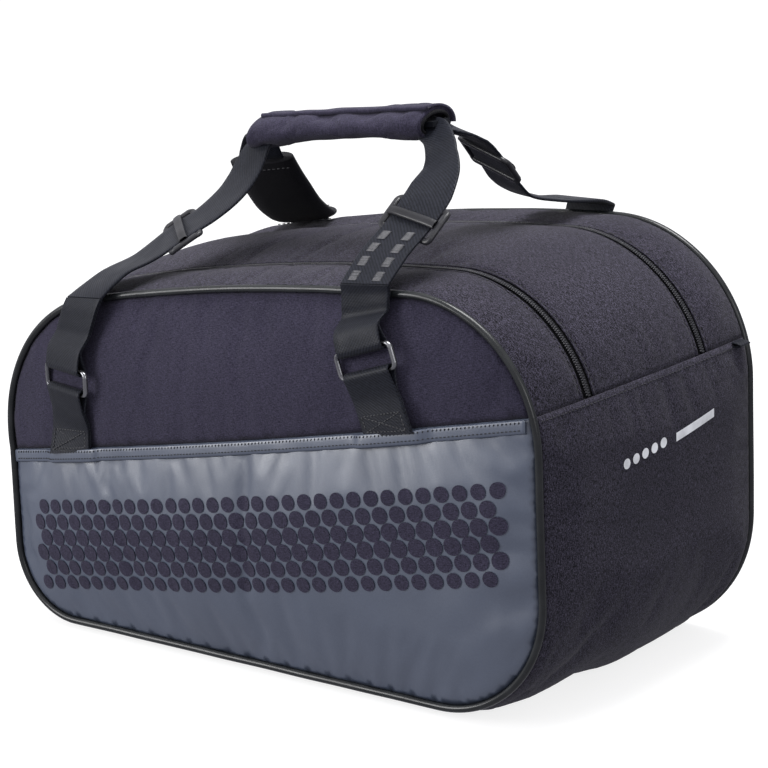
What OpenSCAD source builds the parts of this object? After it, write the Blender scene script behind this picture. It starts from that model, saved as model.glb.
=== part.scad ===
// Padel racket bag: a tapered duffel with two zipped compartments, whose piped
// front and back panels fold outward, and a wrapped handle on four webbing straps.
// Millimetres. +X runs from the low end to the high end, +Y to the back, +Z up.

/* [Bag body] */
// Width across the piped front panel
bag_w = 522; // [502:5:542]
// Depth between the two piped seams
bag_d = 268; // [262:2:280]
// Height of the front piping above the floor
sole_h = 7.4; // [6.4:0.2:7.4]
// Radius of the long shoulder at the low end
low_shoulder_r = 122; // [116:1:128]
// Height of that shoulder's centre
low_shoulder_z = 159; // [154:1:164]
// Radius of the shoulder at the high end
high_shoulder_r = 106; // [100:1:112]
// Height of that shoulder's centre
high_shoulder_z = 210; // [205:1:215]
// Radius of the long crown between the shoulders
crown_r = 1840; // [1500:20:2200]
// Radius of the bottom corner at the low end
low_foot_r = 58; // [50:1:65]
// Radius of the bottom corner at the high end
high_foot_r = 96; // [88:1:102]
// Bulge of the front and back panels
bulge = 22; // [12:1:26]
// Swell of the gusset half way through its depth
belly = 7; // [4:0.5:8]
// How much larger the back outline is than the front one
back_grow = 10; // [7:0.5:12]

/* [Seams and zips] */
// Angle of the low end's seam on its shoulder, above horizontal
low_seam_a = -7; // [-9:0.5:-5]
// Angle of the high end's seam on its shoulder, above horizontal
high_seam_a = 16; // [13:0.5:20]
// Distance of the front zip from the front piped seam
front_zip = 59; // [54:1:64]
// Distance of the rear zip from the rear piped seam
rear_zip = 65; // [60:1:70]
// Width of one zip tape
tape_w = 5.6; // [5:0.1:6.5]
// Radius of the piping cord
piping_r = 3.5; // [3:0.1:3.8]
// Thickness of the padded panels
panel_t = 4; // [3:0.5:5]
// Thickness of the gusset fabric with its lining
gusset_t = 3; // [2.5:0.1:3.2]

/* [Webbing and hardware] */
// Width of the handle webbing
web_w = 44; // [40:1:45]
// Thickness of one layer of webbing
web_t = 1.5; // [1.2:0.1:1.6]
// Radius of the wire of the rectangular rings
ring_wire_r = 2.5; // [2:0.1:2.8]
// Clear width inside a ring
ring_inner_w = 48; // [47:1:50]
// Height of a ring between the centres of its bars
ring_pitch = 20; // [18:1:22]

/* [Handle] */
// Length of the wrapped grip
grip_len = 178; // [172:1:184]
// Half depth of the grip
grip_half_d = 21; // [19:0.5:22]
// Half height of the grip
grip_half_h = 13.5; // [12:0.5:14.5]
// Thickness of the grip's padded wrap
wrap_t = 4; // [3:0.5:4.5]
// Rise of the grip from its low end to its high end
grip_tilt = 6; // [5:0.5:7]

/* [Hidden] */

FRONT = -1;
REAR = 1;
LOW = 0;
HIGH = 1;
front_y = -bag_d / 2;
cloth_gap = 0.4;          // clearance between neighbouring soft pieces
seam_gap_a = 0.3;         // the same at the end seams, as an angle on the shoulder
gusset_start = 4;         // the gusset starts this far behind the piped seam
panel_inset = 4;          // the panels end this far inside the piping's centre

charcoal = "#3b3742";
heather = "#35323a";
slate = "#5d6a7e";
webbing_black = "#23262a";
black = "#1b1b1e";
lining_grey = "#6c7078";
gunmetal = "#6f7278";

// Outline of the front panel as tangent arcs, [x, z] centres
low_c = [-bag_w / 2 + low_shoulder_r, low_shoulder_z];
high_c = [bag_w / 2 - high_shoulder_r, high_shoulder_z];
low_foot_c = [-bag_w / 2 + low_foot_r, sole_h + low_foot_r];
high_foot_c = [bag_w / 2 - high_foot_r, sole_h + high_foot_r];

// The crown's centre lies where it is tangent inside to both shoulders
shoulder_v = high_c - low_c;
shoulder_d = norm(shoulder_v);
low_reach = crown_r - low_shoulder_r;
high_reach = crown_r - high_shoulder_r;
along = (low_reach * low_reach - high_reach * high_reach + shoulder_d * shoulder_d) / (2 * shoulder_d);
below = sqrt(low_reach * low_reach - along * along);
unit_v = shoulder_v / shoulder_d;
crown_c = low_c + along * unit_v + below * [unit_v[1], -unit_v[0]];
crown_a0 = atan2(low_c[1] - crown_c[1], low_c[0] - crown_c[0]);
crown_a1 = atan2(high_c[1] - crown_c[1], high_c[0] - crown_c[0]);
crown_x0 = crown_c[0] + crown_r * cos(crown_a0);
crown_x1 = crown_c[0] + crown_r * cos(crown_a1);

function polar(c, r, a) = c + r * [cos(a), sin(a)];
function arc(c, r, a0, a1, n) = [for (i = [0:n]) polar(c, r, a0 + (a1 - a0) * i / n)];
function tail(list) = [for (i = [1:len(list) - 1]) list[i]];
function flat(grid) = [for (row = grid) each row];
function spread(a, b, n) = [for (i = [0:n]) a + (b - a) * i / n];
function unit(v) = v / norm(v);
function raised(loop, z) = [for (p = loop) [p[0], max(p[1], z)]];

// Outlines at an offset o, clockwise from the front: over the top, then round the bottom
function over_top(o) = over_top_from(o, 180 - low_seam_a - seam_gap_a);
function over_top_from(o, a) = concat(
  arc(low_c, low_shoulder_r + o, a, crown_a0, 10),
  tail(arc(crown_c, crown_r + o, crown_a0, crown_a1, 5)),
  tail(arc(high_c, high_shoulder_r + o, crown_a1, high_seam_a + seam_gap_a, 9)));
function round_bottom(o, floor_z) = raised(concat(
  arc(high_c, high_shoulder_r + o, high_seam_a, 0, 3),
  arc(high_foot_c, high_foot_r + o, 0, -90, 8),
  arc(low_foot_c, low_foot_r + o, -90, -180, 7),
  [polar(low_c, low_shoulder_r + o, 180 - low_seam_a)]), floor_z);

// The panels' own seam runs straight between the two end seams, and dz shifts it
seam_low = polar(low_c, low_shoulder_r - panel_inset, 180 - low_seam_a);
seam_high = polar(high_c, high_shoulder_r - panel_inset, high_seam_a);
seam_slope = atan2(seam_high[1] - seam_low[1], seam_high[0] - seam_low[0]);
function seam_line(dz) = [for (i = [1:9]) seam_low + (seam_high - seam_low) * i / 10 + [0, dz]];
function seam_z(x) = seam_low[1] + (x - seam_low[0]) * tan(seam_slope);
function backwards(list) = [for (i = [len(list) - 1:-1:0]) list[i]];

// How far the gusset stands outside the front outline at depth y
function grow(y) = back_grow * (y - front_y) / bag_d + belly * (1 - pow(2 * y / bag_d, 2));
function side_y(side, y) = side == FRONT ? y : -y;
function edge_grow(side) = side == FRONT ? 0 : back_grow;

// The panel's pillow: nothing at the outline, full in the middle
function half_chord(c, r, x) = sqrt(max(0, r * r - pow(x - c[0], 2)));
function top_z(x) =
  x < crown_x0 ? low_c[1] + half_chord(low_c, low_shoulder_r, x) :
  x < crown_x1 ? crown_c[1] + half_chord(crown_c, crown_r, x) :
  high_c[1] + half_chord(high_c, high_shoulder_r, x);
function bottom_z(x) =
  x < low_foot_c[0] ? low_foot_c[1] - half_chord(low_foot_c, low_foot_r, x) :
  x < high_foot_c[0] ? sole_h :
  high_foot_c[1] - half_chord(high_foot_c, high_foot_r, x);
function across(x) = max(0, 1 - pow(2 * x / bag_w, 2));
function upright(x, z) =
  let (mid = (top_z(x) + bottom_z(x)) / 2, half = (top_z(x) - bottom_z(x)) / 2)
  max(0, 1 - pow((z - mid) / half, 2));
function pillow(x, z) = bulge * across(x) * upright(x, z);
function skin_y(x, z) = front_y - pillow(x, z);

// A closed sheet between an outer and an inner grid of points, rows to the back
module sheet(outer, inner) {
  rows = len(outer);
  cols = len(outer[0]);
  n = rows * cols;
  function at(j, i) = j * cols + i;
  faces = concat(
    [for (j = [0:rows - 2]) for (i = [0:cols - 2]) each
      [[at(j, i), at(j + 1, i), at(j + 1, i + 1)], [at(j, i), at(j + 1, i + 1), at(j, i + 1)],
       [n + at(j, i), n + at(j, i + 1), n + at(j + 1, i + 1)],
       [n + at(j, i), n + at(j + 1, i + 1), n + at(j + 1, i)]]],
    [for (i = [0:cols - 2]) each
      [[at(0, i), at(0, i + 1), n + at(0, i + 1)], [at(0, i), n + at(0, i + 1), n + at(0, i)],
       [at(rows - 1, i), n + at(rows - 1, i + 1), at(rows - 1, i + 1)],
       [at(rows - 1, i), n + at(rows - 1, i), n + at(rows - 1, i + 1)]]],
    [for (j = [0:rows - 2]) each
      [[at(j + 1, 0), at(j, 0), n + at(j, 0)], [at(j + 1, 0), n + at(j, 0), n + at(j + 1, 0)],
       [at(j, cols - 1), at(j + 1, cols - 1), n + at(j + 1, cols - 1)],
       [at(j, cols - 1), n + at(j + 1, cols - 1), n + at(j, cols - 1)]]]);
  polyhedron(points = concat(flat(outer), flat(inner)), faces = faces);
}

// A bulged panel inside a closed loop of [x, z] points, thin rings about its centre
module cushion(loop, centre, o) {
  scales = [1, 0.8, 0.55, 0.3];
  cols = len(loop);
  n = len(scales) * cols;
  rings = [for (s = scales) for (p = loop) centre + s * (p - centre)];
  face = concat(rings, [centre]);
  front = [for (p = face) [p[0], skin_y(p[0], p[1] - o), p[1]]];
  back = [for (p = face) [p[0], skin_y(p[0], p[1] - o) + panel_t, p[1]]];
  m = n + 1;
  function at(k, i) = k * cols + i % cols;
  last = len(scales) - 1;
  faces = concat(
    [for (k = [0:last - 1]) for (i = [0:cols - 1]) each
      [[at(k, i), at(k, i + 1), at(k + 1, i + 1)], [at(k, i), at(k + 1, i + 1), at(k + 1, i)],
       [m + at(k, i), m + at(k + 1, i + 1), m + at(k, i + 1)],
       [m + at(k, i), m + at(k + 1, i), m + at(k + 1, i + 1)]]],
    [for (i = [0:cols - 1]) each
      [[at(last, i), at(last, i + 1), n], [m + at(last, i + 1), m + at(last, i), m + n],
       [at(0, i + 1), at(0, i), m + at(0, i)], [at(0, i + 1), m + at(0, i), m + at(0, i + 1)]]]);
  polyhedron(points = concat(front, back), faces = faces);
}

// Frame of a swept strip at point i: its place, width direction and normal
function tangent(route, i) = unit(route[min(i + 1, len(route) - 1)][0] - route[max(i - 1, 0)][0]);
function frame_at(route, i) =
  let (t = tangent(route, i), n = unit(cross(t, route[i][1])))
  [route[i][0], unit(route[i][1]), n, t];

// Sweeps a section of [width, normal] points along part of a route
module sweep(route, section, first = 0, last = -1, gap = 0) {
  end = last < 0 ? len(route) - 1 : last;
  k = len(section);
  rings = [for (i = [first:end]) let (f = frame_at(route, i), start = f[0] + (i == first ? gap : 0) * f[3])
    for (s = section) start + s[0] * f[1] + s[1] * f[2]];
  count = end - first + 1;
  faces = concat(
    [[for (j = [0:k - 1]) j]],
    [[for (j = [k - 1:-1:0]) (count - 1) * k + j]],
    [for (i = [0:count - 2]) for (j = [0:k - 1]) let (a = i * k, b = a + k, h = (j + 1) % k) each
      [[a + j, b + j, b + h], [a + j, b + h, a + h]]]);
  polyhedron(points = rings, faces = faces);
}

function flat_section(w, t) = [[w / 2, t / 2], [-w / 2, t / 2], [-w / 2, -t / 2], [w / 2, -t / 2]];
function round_section(r, n) = [for (j = [0:n - 1]) r * [cos(360 * j / n), sin(360 * j / n)]];

// Front-facing geometry is built once, and mirrored for the back
module facing(side) {
  if (side == FRONT) children();
  else mirror([0, 1, 0]) children();
}

// Gusset pieces
module top_wall(rows, side, drop, t, a = 180 - low_seam_a - seam_gap_a) {
  outer = [for (y = rows) [for (p = over_top_from(grow(side_y(side, y)) - drop, a)) [p[0], y, p[1]]]];
  inner = [for (y = rows) [for (p = over_top_from(grow(side_y(side, y)) - drop - t, a)) [p[0], y, p[1]]]];
  sheet(outer, inner);
}

function zip_local(side) = side == FRONT ? front_y + front_zip : front_y + rear_zip;
tape_gap = 0.25;
tape_drop = 0.8;
tape_t = 1.2;

module strip(side) color(heather) facing(side)
  top_wall(spread(front_y + gusset_start, zip_local(side) - tape_w - 2 * tape_gap, 3), side, 0, gusset_t);

// The outer tape starts above the parked slider, which stays on the bag
module outer_tape(side) color(black) facing(side)
  top_wall([zip_local(side) - tape_w, zip_local(side) - tape_gap], side, tape_drop, tape_t,
    park_a - slider_room);

module inner_tape(side) color(black) facing(side)
  top_wall([zip_local(side) + tape_gap, zip_local(side) + tape_w], side, tape_drop, tape_t);

module mid_gusset() color(heather) {
  y0 = zip_local(FRONT) + tape_w + 2 * tape_gap;
  y1 = -(zip_local(REAR) + tape_w + 2 * tape_gap);
  top_wall(spread(y0, y1, 4), FRONT, 0, gusset_t);
}

module lower_gusset() color(heather) {
  rows = spread(front_y + gusset_start, -front_y - gusset_start, 6);
  outer = [for (y = rows) [for (p = round_bottom(grow(y), 0)) [p[0], y, p[1]]]];
  inner = [for (y = rows) [for (p = round_bottom(grow(y) - gusset_t, gusset_t)) [p[0], y, p[1]]]];
  sheet(outer, inner);
}

// Panels
upper_centre = [30, 240];
lower_centre = [0, 105];

module upper_panel(side) color(charcoal) facing(side) {
  o = edge_grow(side);
  cushion(concat(over_top(o - panel_inset), backwards(seam_line(cloth_gap))), upper_centre, o);
}

module lower_panel(side) color(side == FRONT ? slate : heather) facing(side) {
  o = edge_grow(side);
  cushion(concat(round_bottom(o - panel_inset, sole_h / 2 + panel_inset), seam_line(-cloth_gap)),
    lower_centre, o);
}

function cord_route(loop) = [for (p = loop) [[p[0], front_y, p[1]], [0, 1, 0]]];
piping_section = round_section(piping_r, 8);
module upper_piping(side) color(gunmetal) facing(side)
  sweep(cord_route(over_top(edge_grow(side))), piping_section);
module lower_piping(side) color(gunmetal) facing(side)
  sweep(cord_route(round_bottom(edge_grow(side), piping_r + cloth_gap)), piping_section);

// Inside the bag
board_t = 3;
board_ends = [-198, 160];
board_depth = bag_d - 34;
board_z = sole_h - grow(-board_depth / 2) + gusset_t + 2 * cloth_gap;   // over the gusset's front edge
module base_board() color(black)
  translate([board_ends[0], -board_depth / 2, board_z])
    cube([board_ends[1] - board_ends[0], board_depth, board_t]);

divider_t = 5;
divider_o = grow(0) - gusset_t - 1;
module divider() color(lining_grey)
  translate([0, divider_t / 2, 0]) rotate([90, 0, 0]) linear_extrude(divider_t)
    polygon(concat(over_top(divider_o), round_bottom(divider_o, board_z + board_t + cloth_gap)));

module mesh_pocket() color(black)
  translate([-150, -divider_t / 2 - 2, 60]) cube([290, 1.6, 140]);

// Small folded loops at the end seams, at the back
end_tab = [9, 14, 4];
module high_end_tab() color(webbing_black) {
  reach = high_shoulder_r + grow(-front_y - 14) + 1;
  p = polar(high_c, reach, high_seam_a - 1);
  translate([p[0], -front_y - 24, p[1] - end_tab[2] / 2]) cube(end_tab);
}
module low_end_tab() color(webbing_black) {
  reach = low_shoulder_r + grow(-front_y - 14) + 1.5;
  p = polar(low_c, reach, 180 - low_seam_a + 1);
  translate([p[0] - end_tab[0], -front_y - 24, p[1] - end_tab[2] / 2]) cube(end_tab);
}

// Rings, the tabs that hold them and the webbing that goes up from them
ring_x = [-178, 124];
ring_above_seam = [57.5, 53.5];
ring_dir = [[0.976, -0.219, -0.011], [0.953, -0.021, 0.302]];
tab_foot_x = [-179, 143];
layer = web_t / 2 + 0.1;                       // half the pitch of two layers
turn_r = ring_wire_r + 0.6 + web_t / 2;        // webbing's turn round a ring's bar

// Directions of a ring: along its bars, out from the panel, and up across its bars
function ring_along(end) = unit(ring_dir[end]);
function ring_out(end) = unit(cross(ring_along(end), [0, 0, 1]));
function ring_up(end) = cross(ring_out(end), ring_along(end));
function ring_z(end) = seam_z(ring_x[end]) + ring_above_seam[end];

// Y that clears the panel by a gap along a whole line of half width w in direction dir
function clear_y(p, dir, w, o, gap) =
  min([for (s = [-1, -0.5, 0, 0.5, 1]) skin_y(p[0] + s * w * dir[0], p[1] + s * w * dir[2] - o) - s * w * dir[1]]) - gap;
function ring_c(end, side) =
  let (half_w = ring_inner_w / 2 + ring_wire_r, a = ring_along(end), u = ring_up(end),
    y = min([for (v = [-1, 0, 1]) clear_y([ring_x[end], ring_z(end)] + v * ring_pitch / 2 * [u[0], u[2]],
      a, half_w, edge_grow(side), 0) - v * ring_pitch / 2 * u[1]]))
  [ring_x[end], y - turn_r - web_t / 2 - cloth_gap, ring_z(end)];

module ring(side, end) color(gunmetal) facing(side) {
  half_w = ring_inner_w / 2 + ring_wire_r;
  a = ring_along(end);
  n = -ring_out(end);
  u = ring_up(end);
  c = ring_c(end, side);
  multmatrix([[a[0], n[0], u[0], c[0]], [a[1], n[1], u[1], c[1]], [a[2], n[2], u[2], c[2]], [0, 0, 0, 1]]) {
    for (s = [-1, 1]) {
      translate([-half_w, 0, s * ring_pitch / 2]) rotate([0, 90, 0])
        cylinder(r = ring_wire_r, h = 2 * half_w, $fn = 24);
      translate([s * half_w, 0, -ring_pitch / 2]) cylinder(r = ring_wire_r, h = ring_pitch, $fn = 24);
      for (v = [-1, 1]) translate([s * half_w, 0, v * ring_pitch / 2]) sphere(r = ring_wire_r, $fn = 24);
    }
  }
}

// Two layers of webbing from a free end to a bar, and the turn round the bar
function folded(points, bar, end, up) = let (n = ring_out(end)) concat(
  [for (p = points) [p[0] + layer * n, p[1]]],
  [for (a = [0:30:180]) [bar + turn_r * (cos(a) * n + sin(a) * up), ring_along(end)]],
  backwards([for (p = points) [p[0] - layer * n, p[1]]]));

// Points from a foot on the panel to a ring's bar; the last one stands square to the bar
rest = 2 * layer + cloth_gap + 1.9;
near_bar = 14;
function between(a, b, t) = a + (b - a) * t;
function climb(foot, foot_dir, bar, up, end, o, steps) =
  let (near = bar + near_bar * up, top = [near[0], near[2]], d = ring_along(end))
  concat(
    [for (t = steps) let (p = between(foot, top, t), w = between(foot_dir, d, t))
      [[p[0], clear_y(p, unit(w), web_w / 2, o, rest), p[1]], w]],
    [[near, d]]);

module ring_tab(side, end) color(webbing_black) facing(side) {
  up = -ring_up(end);
  bar = ring_c(end, side) + ring_pitch / 2 * up;
  foot = [tab_foot_x[end], seam_z(tab_foot_x[end]) + 6];
  points = climb(foot, [cos(seam_slope), 0, sin(seam_slope)], bar, up, end, edge_grow(side), [0, 0.5]);
  sweep(folded(points, bar, end, -up), flat_section(web_w, web_t));
}

// Routes of the straps from just above their ring to the grip: place and width direction.
// The first three points lie on the opening panel, the next two bend to the handle.
front_low_route = [
  [[-160, -143, 282], [0.95, -0.15, 0.1]], [[-153, -134, 291], [0.94, -0.25, 0.12]],
  [[-144, -121, 301], [0.92, -0.35, 0.12]], [[-127, -106, 311], [0.9, -0.42, 0.1]],
  [[-106, -86, 330], [0.88, -0.47, 0]], [[-90, -74, 342], [0.88, -0.47, 0]],
  [[-77, -62, 356], [0.87, -0.48, -0.05]], [[-70, -53, 369], [0.85, -0.35, 0]],
  [[-66, -46, 382], [0.87, -0.2, 0.05]]];
front_high_route = [
  [[119, -143, 322], [1, 0, 0.08]], [[121, -132, 333], [1, 0, 0.05]],
  [[123, -121, 343], [1, 0, 0.04]], [[127, -109, 353], [1, 0, 0.04]],
  [[131, -98, 363], [1, 0, 0.04]], [[134, -86, 376], [0.98, 0.1, 0]],
  [[131, -70, 389], [0.95, 0.2, 0.05]], [[124, -55, 399], [0.9, 0.3, 0.1]]];
rear_high_route = [
  [[122, 144, 332], [1, 0, 0]], [[123, 127, 338], [1, 0, 0]],
  [[122, 96, 343], [1, 0, 0]], [[118, 70, 350], [0.98, 0, -0.1]],
  [[115, 48, 359], [0.95, -0.15, -0.2]], [[115, 33, 372], [0.93, -0.2, -0.22]],
  [[116, 18, 387], [0.93, -0.2, -0.22]], [[117, 4, 401], [0.93, -0.2, -0.22]],
  [[117, -7, 407], [0.96, -0.1, -0.1]]];
rear_low_route = [
  [[-167, 144, 294], [0.95, 0, 0.3]], [[-158, 130, 301], [0.94, 0.1, 0.3]],
  [[-142, 110, 306], [0.92, 0.3, 0.15]], [[-129, 92, 309], [0.9, 0.4, 0.12]],
  [[-117, 70, 316], [0.88, 0.45, 0.1]], [[-109, 48, 328], [0.88, 0.45, 0.1]],
  [[-102, 28, 344], [0.88, 0.45, 0.1]], [[-96, 10, 360], [0.9, 0.4, 0.1]],
  [[-90, -6, 376], [0.92, 0.3, 0.1]]];
bend_end = 2;              // the bend ends and the riser starts at this point of a route
riser_section = flat_section(web_w, 2 * web_t + 0.2);

// Webbing that lies on the opening panel, folded round the ring's upper bar
head_gap = 5;              // the strap ends this far under the bend that carries on from it
module panel_strap(side, end, route) color(webbing_black) facing(side) {
  up = ring_up(end);
  bar = ring_c(end, side) + ring_pitch / 2 * up;
  top = route[0][0] - [0, 0, head_gap];
  w = route[0][1];
  head = [top[0], -abs(top[1]), top[2]];
  head_dir = unit([w[0], side == FRONT ? w[1] : -w[1], w[2]]);
  rise = climb([head[0], head[2]], head_dir, bar, up, end, edge_grow(side), [0.3, 0.65]);
  over_cord = front_y - piping_r - rest - web_t / 2;
  level = [for (q = rise) [[q[0][0], min(q[0][1], over_cord - abs(q[1][1]) * web_w / 2), q[0][2]], q[1]]];
  sweep(folded(concat([[head, head_dir]], level), bar, end, -up), flat_section(web_w, web_t));
}

module bend(route) color(webbing_black) sweep(route, riser_section, 0, bend_end, 0.6);
module riser(route) color(webbing_black)
  sweep(route, riser_section, bend_end, len(route) - 1, 0.4);

// Slide adjusters: two low bars under the webbing and a raised bar over it
glide_len = 26;
bar_r = 1.7;
bar_z = web_t + 0.1 + 1.5 + bar_r;
rail_x = web_w / 2 + 1 + 1.8;
module rail() hull()
  for (p = [[-glide_len / 2, -bar_z], [glide_len / 2, -bar_z], [0, bar_z]])
    translate([0, p[0], p[1]]) rotate([0, 90, 0]) cylinder(r = bar_r + 0.4, h = 3.6, center = true, $fn = 20);
module glide_shape() {
  for (s = [-1, 1]) translate([s * rail_x, 0, 0]) rail();
  for (p = [[-glide_len / 2, -bar_z], [glide_len / 2, -bar_z], [0, bar_z]])
    translate([0, p[0], p[1]]) rotate([0, 90, 0]) cylinder(r = bar_r, h = 2 * rail_x, center = true, $fn = 24);
}
module glide(route, i) color(black) {
  f = frame_at(route, i);
  up = f[2][2] > 0 ? f[2] : -f[2];
  w = cross(f[2], f[3]);
  t = cross(up, w);
  multmatrix([[w[0], t[0], up[0], f[0][0]], [w[1], t[1], up[1], f[0][1]],
    [w[2], t[2], up[2], f[0][2]], [0, 0, 0, 1]]) glide_shape();
}

// Handle
grip_c = [21, -30, 412];
grip_dir = [cos(grip_tilt), 0, sin(grip_tilt)];
grip_up = [-sin(grip_tilt), 0, cos(grip_tilt)];
grip_arch = 4;             // rise of the underside at the middle
function grip_point(s, a, d) =
  let (arch = sin(a) < 0 ? grip_arch * (1 - pow(2 * s - 1, 2)) : 0)
  grip_c + (s - 0.5) * grip_len * grip_dir + [0, (grip_half_d + d) * cos(a), 0]
  + ((grip_half_h + d) * sin(a) + arch) * grip_up;
grip_steps = spread(0, 1, 6);
grip_sides = 20;
grip_turn = [for (j = [0:grip_sides - 1]) 360 * j / grip_sides];

// The wrap is one closed tube of padded fabric round the webbing
module grip_wrap() color(charcoal) {
  k = grip_sides;
  n = len(grip_steps) * k;
  outer = [for (s = grip_steps) for (a = grip_turn) grip_point(s, a, 0)];
  inner = [for (s = grip_steps) for (a = grip_turn) grip_point(s, a, -wrap_t)];
  m = len(grip_steps) - 1;
  faces = concat(
    [for (i = [0:m - 1]) for (j = [0:k - 1]) let (a = i * k + j, b = i * k + (j + 1) % k) each
      [[a, b + k, b], [a, a + k, b + k], [n + a, n + b, n + b + k], [n + a, n + b + k, n + a + k]]],
    [for (j = [0:k - 1]) let (h = (j + 1) % k, e = m * k) each
      [[j, h, n + h], [j, n + h, n + j], [e + h, e + j, n + e + j], [e + h, n + e + j, n + e + h]]]);
  polyhedron(points = concat(outer, inner), faces = faces);
}

core_w = 2 * (grip_half_d - wrap_t) - 14;
module grip_core() color(webbing_black)
  sweep([for (s = spread(0.01, 0.99, 4)) [grip_c + (s - 0.5) * grip_len * grip_dir, [0, 1, 0]]],
    flat_section(core_w, 4));

// The wrap's closing flap lies over the back of the grip, sewn along its upper edge
flap_a = [70, 190];
flap_t = 2.2;
flap_margin = 0.04;
module grip_flap() color(black) {
  turn = spread(flap_a[0], flap_a[1], 8);
  rows = spread(flap_margin, 1 - flap_margin, 4);
  outer = [for (a = turn) [for (s = rows) grip_rear_point(s, a, flap_t + cloth_gap)]];
  inner = [for (a = turn) [for (s = rows) grip_rear_point(s, a, cloth_gap)]];
  sheet(outer, inner);
}
function grip_rear_point(s, a, d) = grip_point(s, 180 - a, d);

// Zip sliders, parked at the low end of their zips, built about the shoulder's axis
park_a = 166;
slider_room = 8;           // degrees of shoulder between the slider and the outer tape
slider_rise = 0.5;
slider_h = 3.2;
pull_rise = slider_rise + slider_h + 1.6;
pull_pin_r = 0.8;
function zip_y(side) = side == FRONT ? zip_local(FRONT) : -zip_local(REAR);
function zip_r(side) = low_shoulder_r + grow(zip_y(side));
module on_shoulder(side)
  translate([low_c[0], zip_y(side), low_c[1]]) rotate([0, -park_a, 0]) translate([zip_r(side), 0, 0])
    children();
module zip_slider(side) color(gunmetal) on_shoulder(side) {
  translate([slider_rise, 0, 0]) rotate([0, 90, 0]) linear_extrude(slider_h)
    polygon([[-8, -4], [-5, -5.5], [5, -5.5], [8, -3.5], [8, 3.5], [5, 5.5], [-5, 5.5], [-8, 4]]);
  for (s = [-1, 1]) translate([slider_rise + slider_h, -1.2, s * 3.2 - 0.7]) cube([3.2, 2.4, 1.4]);
  translate([slider_rise + slider_h + 2.9, -1.2, -3.9]) cube([1.2, 2.4, 7.8]);
}
module zip_pull(side) color(black) on_shoulder(side) translate([pull_rise, 0, 0]) {
  rotate([90, 0, 0]) cylinder(r = pull_pin_r, h = 9.6, center = true, $fn = 20);
  for (s = [-1, 1]) translate([-0.8, s * 4 - 0.8, 0]) cube([1.6, 1.6, 10]);
  translate([-1, -4.8, 9]) cube([2, 9.6, 30]);
}

lower_gusset();
mid_gusset();
lower_panel(FRONT);  // front_lower_panel
lower_panel(REAR);  // rear_lower_panel
lower_piping(FRONT);  // front_lower_piping
lower_piping(REAR);  // rear_lower_piping
inner_tape(FRONT);  // front_inner_tape
inner_tape(REAR);  // rear_inner_tape
divider();
mesh_pocket();
base_board();
high_end_tab();
low_end_tab();
upper_panel(FRONT);  // front_upper_panel
strip(FRONT);  // front_strip
upper_piping(FRONT);  // front_upper_piping
outer_tape(FRONT);  // front_outer_tape
ring_tab(FRONT, LOW);  // front_low_tab
ring_tab(FRONT, HIGH);  // front_high_tab
ring(FRONT, LOW);  // front_low_ring
ring(FRONT, HIGH);  // front_high_ring
panel_strap(FRONT, LOW, front_low_route);  // front_low_strap
panel_strap(FRONT, HIGH, front_high_route);  // front_high_strap
upper_panel(REAR);  // rear_upper_panel
strip(REAR);  // rear_strip
upper_piping(REAR);  // rear_upper_piping
outer_tape(REAR);  // rear_outer_tape
ring_tab(REAR, LOW);  // rear_low_tab
ring_tab(REAR, HIGH);  // rear_high_tab
ring(REAR, LOW);  // rear_low_ring
ring(REAR, HIGH);  // rear_high_ring
panel_strap(REAR, LOW, rear_low_route);  // rear_low_strap
panel_strap(REAR, HIGH, rear_high_route);  // rear_high_strap
bend(front_low_route);  // front_low_bend
bend(front_high_route);  // front_high_bend
bend(rear_low_route);  // rear_low_bend
bend(rear_high_route);  // rear_high_bend
riser(front_low_route);  // front_low_riser
riser(front_high_route);  // front_high_riser
riser(rear_low_route);  // rear_low_riser
riser(rear_high_route);  // rear_high_riser
glide(front_low_route, 4);  // front_low_glide
glide(front_high_route, 4);  // front_high_glide
glide(rear_high_route, 6);  // rear_high_glide
grip_wrap();
grip_core();
grip_flap();
zip_slider(FRONT);  // front_zip_slider
zip_slider(REAR);  // rear_zip_slider
zip_pull(FRONT);  // front_zip_pull
zip_pull(REAR);  // rear_zip_pull
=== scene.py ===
"""Padel racket bag: soft goods, zips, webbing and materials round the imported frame.

Metres, in the frame of part.scad: +X to the high end, +Y to the back, +Z up.
"""
import math

import bpy
import numpy as np
from mathutils import Matrix, Vector, geometry, noise
from mathutils.bvhtree import BVHTree


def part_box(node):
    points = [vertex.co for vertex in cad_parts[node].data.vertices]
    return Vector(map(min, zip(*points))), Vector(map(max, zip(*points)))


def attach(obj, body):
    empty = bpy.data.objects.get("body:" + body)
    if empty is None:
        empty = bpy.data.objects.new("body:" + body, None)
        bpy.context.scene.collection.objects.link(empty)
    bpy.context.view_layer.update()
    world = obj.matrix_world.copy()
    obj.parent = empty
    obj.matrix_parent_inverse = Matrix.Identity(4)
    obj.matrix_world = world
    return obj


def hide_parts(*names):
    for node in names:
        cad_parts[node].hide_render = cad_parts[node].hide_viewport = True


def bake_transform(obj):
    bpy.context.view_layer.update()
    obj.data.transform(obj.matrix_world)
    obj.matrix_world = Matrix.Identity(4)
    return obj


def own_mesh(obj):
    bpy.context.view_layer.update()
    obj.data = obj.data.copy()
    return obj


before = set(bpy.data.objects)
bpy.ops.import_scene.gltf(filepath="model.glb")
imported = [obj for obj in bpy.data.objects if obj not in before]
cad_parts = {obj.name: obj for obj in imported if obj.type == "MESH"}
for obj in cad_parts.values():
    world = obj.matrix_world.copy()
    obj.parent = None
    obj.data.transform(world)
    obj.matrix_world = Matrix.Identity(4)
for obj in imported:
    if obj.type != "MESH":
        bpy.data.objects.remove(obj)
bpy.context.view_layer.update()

MM = 0.001

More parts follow.
